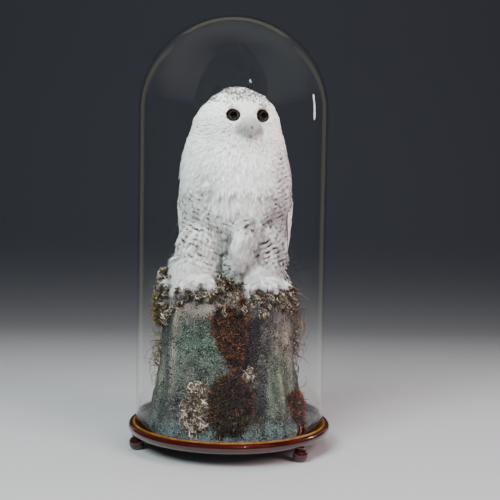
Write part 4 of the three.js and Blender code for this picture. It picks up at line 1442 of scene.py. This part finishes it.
def glass_eye():
    """By angle over pi: pupil below 0.18, iris to 0.29, then black glass."""
    finish = Finish("glass_eye")
    angle = finish.field("angle")
    streak = finish.noise(finish.place(), 900.0, 3.0, 0.7)
    iris = finish.mix(streak, paint(15, 10, 8), paint(48, 34, 26))
    ring = angle.within(0.165, 0.195) * (1 - angle.within(0.27, 0.31))
    colour = finish.mix(ring, paint(1, 1, 1), iris)
    return finish.finish(Base_Color=colour, Roughness=0.05, Specular_IOR_Level=0.18, Coat_Weight=0.2,
                         Coat_Roughness=0.01)

# %% Bare skin and horn
def bare_lid():
    """Dark, finely wrinkled skin."""
    finish = Finish("bare_lid")
    fold = finish.noise(finish.place(), 500.0, 3.0)
    colour = finish.mix(fold, paint(9, 7, 6), paint(26, 20, 17))
    return finish.finish(Base_Color=colour, Roughness=0.55, Normal=finish.relief(fold, 0.0003, 0.6))


def black_horn():
    """Horn: nearly black, with fine growth lines and a polish that is dull at the root."""
    finish = Finish("black_horn")
    grain = finish.noise(finish.place((1, 1, 0.3)), 700.0, 3.0, 0.6)
    colour = finish.mix(grain, paint(20, 17, 16), paint(52, 45, 40))
    return finish.finish(Base_Color=colour, Roughness=grain * 0.2 + 0.2, Coat_Weight=0.3,
                         Normal=finish.relief(grain, 0.0002, 0.3))


def smooth_copy(name, label, material):
    """A solid's own mesh, welded and subdivided twice, standing for it."""
    points, faces = node_mesh(name)
    piece = mesh_piece(label, points * MM, faces, material, "horn")
    rounder = piece.modifiers.new("rounder", "SUBSURF")
    rounder.levels = rounder.render_levels = 2
    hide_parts(name)

# %% Eyes, lids, bill and claws
EYE_RADIUS, LID_RADIUS = 12.9, 12.8
glass, lid_skin, horn = glass_eye(), bare_lid(), black_horn()
SIGHT = {"eye_right": (-0.16, -1, 0.02), "eye_left": (0.16, -1, 0.02)}
for centre, (name, sight) in zip(EYE_PLACES, SIGHT.items()):
    sight = head_direction([sight])[0]
    points, faces, angle = eye_points(centre, sight, EYE_RADIUS)
    ball = mesh_piece(f"glass_{name}", points * MM, faces, glass, "eye", fields={"angle": angle})
    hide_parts(name)
    turn = np.linspace(0, 2 * math.pi, 14, endpoint=False)
    ring = np.stack([LID_RADIUS + 1.7 * np.cos(turn), 4.6 + 1.9 * np.sin(turn)], -1)
    points, faces = lathe(np.concatenate([ring, ring[:1]]), 48)
    points = points * [1.1, 0.92, 1]
    mesh_piece(f"lid_{name}", along_axis(points, centre, sight) * MM, faces, lid_skin, "horn")
smooth_copy("bill", "black_bill", horn)
for side in ("right", "left"):
    for toe in range(1, 5):
        smooth_copy(f"claw_{side}_{toe}", f"horn_claw_{side}_{toe}", horn)

# %% [markdown]
# ## Moss, lichen and dry grass
#
# The stump is dressed with dried plants glued on in pads. A moss pad is a lumpy cushion covered
# with thousands of small pointed leaves. Lichen grows in sprigs whose thin branches curl, and sits
# in balls along the rim, in heaps round the feet and in one pale clump at the foot. Nearly all of
# it grows from places picked on the surface that carries it, and starts a little inside it. The
# pads are named for the owl's own left and right, as its limbs are, and the rest for the viewer's.

# %% Leaves
def leaves(root, out, length, width, seed):
    """Pointed leaves of three triangles: root, then out by half the length, then a bent tip."""
    rng = np.random.default_rng(seed)
    count = len(root)
    out = unit(out + rng.normal(0, 0.45, (count, 3)))
    across = unit(np.cross(out, rng.normal(0, 1, (count, 3))))
    length = (length * rng.uniform(0.6, 1.3, count))[:, None]
    bend = rng.normal(0, 0.35, (count, 3)) * length
    half = across * width / 2
    middle = root + out * length * 0.5 + bend * 0.3
    points = np.stack([root - half, root + half, middle - half * 0.8, middle + half * 0.8,
                       root + out * length + bend], 1)
    faces = copies(np.array([[0, 3, 2], [0, 1, 3], [2, 3, 4]]), count, 5)
    tall = np.tile([0.0, 0.0, 0.55, 0.55, 1.0], count)
    tone = np.repeat(rng.uniform(0, 1, count), 5)
    return points.reshape(-1, 3), faces, tall, tone

# %% Curling branches
def tubes(paths, radius):
    """Thin three-sided tubes along paths (n, k, 3): k - 1 rings that narrow, then a point."""
    count, steps, _ = paths.shape
    sides = 3
    run = unit(np.gradient(paths, axis=1))
    east = unit(np.cross(run, [0.31, 0.17, 0.93]))
    north = np.cross(run, east)
    turn = np.arange(sides) * 2 * math.pi / sides
    wide = radius * np.linspace(1, 0.45, steps)[:-1, None, None]
    ring = east[:, :-1, None] * np.cos(turn)[:, None] + north[:, :-1, None] * np.sin(turn)[:, None]
    rings = paths[:, :-1, None] + ring * wide
    points = np.concatenate([rings.reshape(count, -1, 3), paths[:, -1:]], 1)
    quads = grid_faces(steps - 1, sides, wrap=True)
    last = (steps - 2) * sides + np.arange(sides)
    tip = np.stack([last, np.roll(last, -1), np.full(sides, (steps - 1) * sides)], -1)
    base = [[0, 2, 1]]
    size = points.shape[1]
    faces = copies(np.concatenate([triangles_of(quads), tip, base]), count, size)
    tall = np.append(np.repeat(np.linspace(0, 1, steps)[:-1], sides), 1.0)
    return points.reshape(-1, 3), faces, np.tile(tall, count), size


def sprigs(root, out, length, radius, branches, seed, curl=0.55, steps=6):
    """Branches from each root: straight out at first, then turning in a circle that tightens."""
    rng = np.random.default_rng(seed)
    root, out = np.repeat(root, branches, axis=0), np.repeat(out, branches, axis=0)
    count = len(root)
    out = unit(out + rng.normal(0, 0.6, (count, 3)))
    side = unit(np.cross(out, rng.normal(0, 1, (count, 3))))
    length = (length * rng.uniform(0.5, 1.25, count))[:, None, None]
    s = np.linspace(0, 1, steps)[None, :, None]
    angle = curl * rng.uniform(0.4, 1.9, count)[:, None, None] * s ** 1.5 * math.pi
    paths = root[:, None] + length * s * (out[:, None] * np.cos(angle) + side[:, None] * np.sin(angle))
    points, faces, tall, size = tubes(paths, radius)
    return points, faces, tall, np.repeat(rng.uniform(0, 1, count), size)

# %% Cushions and dry colours
def cushion(name, lumps, seed):
    """A moss solid as a finer, lumpier surface, with the normal at each of its points."""
    points, faces = remeshed(*node_mesh(name), 2.6)
    points = relaxed(points, faces, 5)
    sunk = np.clip((104 - points[:, 2]) / 46, 0, 1) ** 1.4
    points[:, 1] += 16 * sunk
    points[:, 0] += 0.16 * sunk * (points[:, 0].mean() - points[:, 0])
    out = normals_of(points, faces)
    return points + out * lumps * rough(points, 13, seed)[:, None], faces, out


def plant_finish(name, dark, middle, light):
    """Dry plant: dark at the root as painted shade deep among the leaves, its own tone for each leaf,
    light at the tips.
    """
    finish = Finish(name)
    tall, tone = finish.field("tall"), finish.field("tone")
    patch = finish.noise(finish.place(), 60.0, 3.0, 0.6)
    # painted shade: dark at the root of each leaf, lighter towards the tip
    colour = finish.mix(tall * 0.85 + 0.05, dark, middle)
    colour = finish.mix(patch.within(0.55, 0.40) * 0.75, colour, dark)
    colour = finish.mix((tone * tall).within(0.3, 0.75) * patch.within(0.35, 0.55), colour, light)
    return finish.finish(Base_Color=colour, Roughness=0.9, Specular_IOR_Level=0.2)


def bed(points, faces):
    """A cushion of quads in the form that leaves have, dark all over as painted shade under the leaves.
    """
    blank = np.zeros(len(points))
    return points, triangles_of(faces), blank, blank


def roots_on(points, faces, out, count, seed):
    """Places spread over a cushion, and the way out at each."""
    split = triangles_of(faces)
    place, pick, _ = scattered(points, split, count, seed)
    return place, out[split[pick]].mean(1)


def planted(name, parts, material, slot):
    """Makes one piece of leaves, branches and cushions: (points, triangles, tall, tone) each."""
    starts = np.cumsum([0] + [len(part[0]) for part in parts])
    faces = np.concatenate([part[1] + start for part, start in zip(parts, starts)])
    points, tall, tone = (np.concatenate([part[k] for part in parts]) for k in (0, 2, 3))
    return mesh_piece(name, points * MM, faces, material, slot, fields={"tall": tall, "tone": tone})

# %% Moss pads
PADS = {  # leaves, their length and width, and the dark, middle and light colours
    "moss_cleft": (4200, 9.0, 2.1, (7, 5, 3), (64, 34, 16), (176, 104, 50)),
    "moss_mound": (5600, 9.5, 2.1, (6, 4, 3), (46, 30, 21), (136, 104, 70)),
    "moss_low_left": (1900, 8.5, 2.0, (14, 6, 5), (92, 34, 24), (176, 104, 74)),
    "moss_high_right": (2200, 10.0, 2.0, (14, 11, 6), (84, 68, 34), (160, 136, 76)),
}
for seed, (name, (count, length, width, *colours)) in enumerate(PADS.items()):
    points, faces, out = cushion(name, 4.0, seed)
    place, normal = roots_on(points, faces, out, count, seed)
    leaf = leaves(place - normal, normal + [0, 0, 0.15], length, width, seed)
    finish = plant_finish(name, *(paint(*colour) for colour in colours))
    pad = planted(f"pad_{name}", [bed(points, faces), leaf], finish, "moss")
    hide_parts(name)

# %% The clump of lichen
lichen = plant_finish("pale_lichen", paint(12, 8, 6), paint(112, 97, 82), paint(236, 221, 202))
points, faces, out = cushion("lichen_clump", 3.0, 9)
points = points - 7.0 * out
sprig = sprigs(*roots_on(points, faces, out, 560, 9), 16, 1.5, 4, 9, curl=1.0)
clump = planted("lichen_clump_sprigs", [bed(points, faces), sprig], lichen, "lichen")
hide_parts("lichen_clump")

# %% Lichen along the rim and round the feet
def on_rock(count, seed, share):
    """Places and normals on the stump, kept where a share from 0 to 1 beats a random number."""
    place, pick, _ = scattered(rock_points, rock_faces, count, seed)
    a, b, c = (rock_points[rock_faces[pick, k]] for k in range(3))
    normal = unit(np.cross(b - a, c - a))
    keep = np.random.default_rng(seed + 1).random(count) < share(place)
    return place[keep], normal[keep]


PATCHES = [  # middle and half sizes of the thick patches along the rim
    ((-136, -50, 338), (22, 44, 22)), ((-68, -104, 338), (42, 24, 9)), ((5, -88, 342), (46, 40, 10)),
    ((86, -108, 330), (46, 26, 13)), ((112, -60, 335), (18, 40, 14)),
]
HEAPS = [  # middle and half sizes of the low heaps round the feet
    ((-134, -52, 336), (20, 44, 62)), ((-4, -90, 340), (40, 26, 30)), ((114, -50, 336), (14, 44, 24)),
    ((-70, -114, 334), (44, 10, 20)), ((78, -114, 330), (36, 10, 18)),
]


def rim_lichen(points):
    """Thick at the left corner, before the feet and in the middle, thinner round the back."""
    x, y, z = points.T
    top = np.clip((z - 318) / 10, 0, 1)
    edge = np.clip((np.hypot(x / 1.35, y) - 62) / 25, 0, 1)
    share = top * edge * np.clip(0.10 + 0.7 * noise(points, 26, 71), 0, 1)
    clumps = np.clip(0.75 + 1.1 * noise(points, 15, 75), 0, 1)
    for centre, reach in PATCHES:
        share = np.maximum(share, clumps * hill(points, centre, reach) ** 0.7)
    share = np.maximum(share, 0.8 * hill(points, (40, -112, 180), (10, 30, 12)))
    return share * (z < 352)


def heap(centre, reach, count, seed):
    """Places in the upper half of a low heap, and the way out of it at each."""
    rng = np.random.default_rng(seed)
    out = unit(rng.normal(0, 1, (count, 3)) * [1, 1, 0.8])
    out[:, 2] = np.abs(out[:, 2])
    return np.array(centre) + out * np.array(reach) * rng.uniform(0.3, 1, (count, 1)), out


def pompoms(place, normal, count, seed):
    """Balls of sprigs: each has its own size, sits on its place and has sprigs all over its top."""
    rng = np.random.default_rng(seed)
    keep = thinned(place, np.full(len(place), 14.0))
    place, normal = np.repeat(place[keep], count, axis=0), np.repeat(normal[keep], count, axis=0)
    size = np.repeat(rng.uniform(7, 12, len(keep)), count)[:, None]
    out = unit(unit(rng.normal(0, 1, place.shape)) + 0.5 * normal)
    root = place + size * (0.35 * normal + 0.45 * out)
    return sprigs(root, out, size[:, 0].repeat(3) * 0.95, 1.25, 3, seed, curl=1.0)


spread = [on_rock(17000, 72, rim_lichen)]
spread += [heap(centre, reach, 80, 76 + k) for k, (centre, reach) in enumerate(HEAPS)]
place, normal = (np.concatenate(column) for column in zip(*spread))
for label, chosen in (("left", place[:, 0] < -20), ("right", place[:, 0] >= -20)):
    planted(f"rim_lichen_{label}", [pompoms(place[chosen], normal[chosen], 13, 73)], lichen, "lichen")

# %% Dry grass and a curled twig
straw = plant_finish("dry_grass", paint(44, 34, 16), paint(120, 98, 50), paint(190, 168, 112))


def side_grass(points):
    """Two tufts, low on the left side and up the right side, both a little behind the middle."""
    return hill(points, (-158, 30, 190), (40, 34, 34)) + hill(points, (132, 30, 225), (30, 26, 60))


def twig_foot(points):
    """A few stalks at one place high on the right side."""
    return 0.1 * hill(points, (129, -30, 300), (14, 10, 10))


place, normal = on_rock(9000, 81, side_grass)
grass = sprigs(place - 2 * normal, normal * 0.8 + [0, 0, 0.35], 50, 0.85, 1, 82, curl=0.5, steps=8)
place, normal = on_rock(60000, 83, twig_foot)
twig = sprigs(place - 2 * normal, normal + [0, 0, 0.2], 46, 0.9, 1, 84, curl=0.9, steps=12)
planted("dry_grass", [grass, twig], straw, "moss")

# %% [markdown]
# ## The dome
#
# A blown dome is two surfaces about 3 mm apart, a straight wall that passes into a half sphere.
# Light is bent a little and reflected at a grazing angle, so what shows is a thin bright line
# inside each edge and soft reflections of the lamps. Its shadow would turn the bird grey, so for
# shadow rays the glass counts as clear.

# %% Clear glass
def clear_glass():
    """Smooth glass that lets a lamp's light through unbent."""
    finish = Finish("clear_glass")
    surface = finish.add("ShaderNodeBsdfPrincipled", {
        "Base Color": (0.985, 0.99, 0.98, 1), "Roughness": 0.0, "IOR": 1.22, "Transmission Weight": 1.0})
    shadow = finish.add("ShaderNodeLightPath", output="Is Shadow Ray")
    clear = finish.add("ShaderNodeBsdfTransparent", {"Color": (0.97, 0.98, 0.97, 1)})
    both = finish.add("ShaderNodeMixShader", {0: shadow, 1: surface, 2: clear})
    finish.add("ShaderNodeOutputMaterial", {"Surface": both})
    return finish.material

# %% The dome
spring = GLASS_TOP - GLASS_RADIUS
inside = GLASS_RADIUS - GLASS_WALL
straight = np.linspace(GLASS_FOOT + 3.4, spring, 24)
wall = np.concatenate([
    np.column_stack([np.full(24, GLASS_RADIUS), straight]),
    arc(0, spring, GLASS_RADIUS, 0, 90, 40)[1:],
    arc(0, spring, inside, 90, 0, 40),
    np.column_stack([np.full(23, inside), straight[:-1][::-1]]),
    [[GLASS_RADIUS, GLASS_FOOT + 3.4]],
])
wall[np.abs(wall[:, 0]) < 1e-6, 0] = 0
points, faces = lathe(wall * MM, 192)
dome = mesh_piece("clear_dome", points, faces, clear_glass(), "dome_glass")
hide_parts("glass_dome")
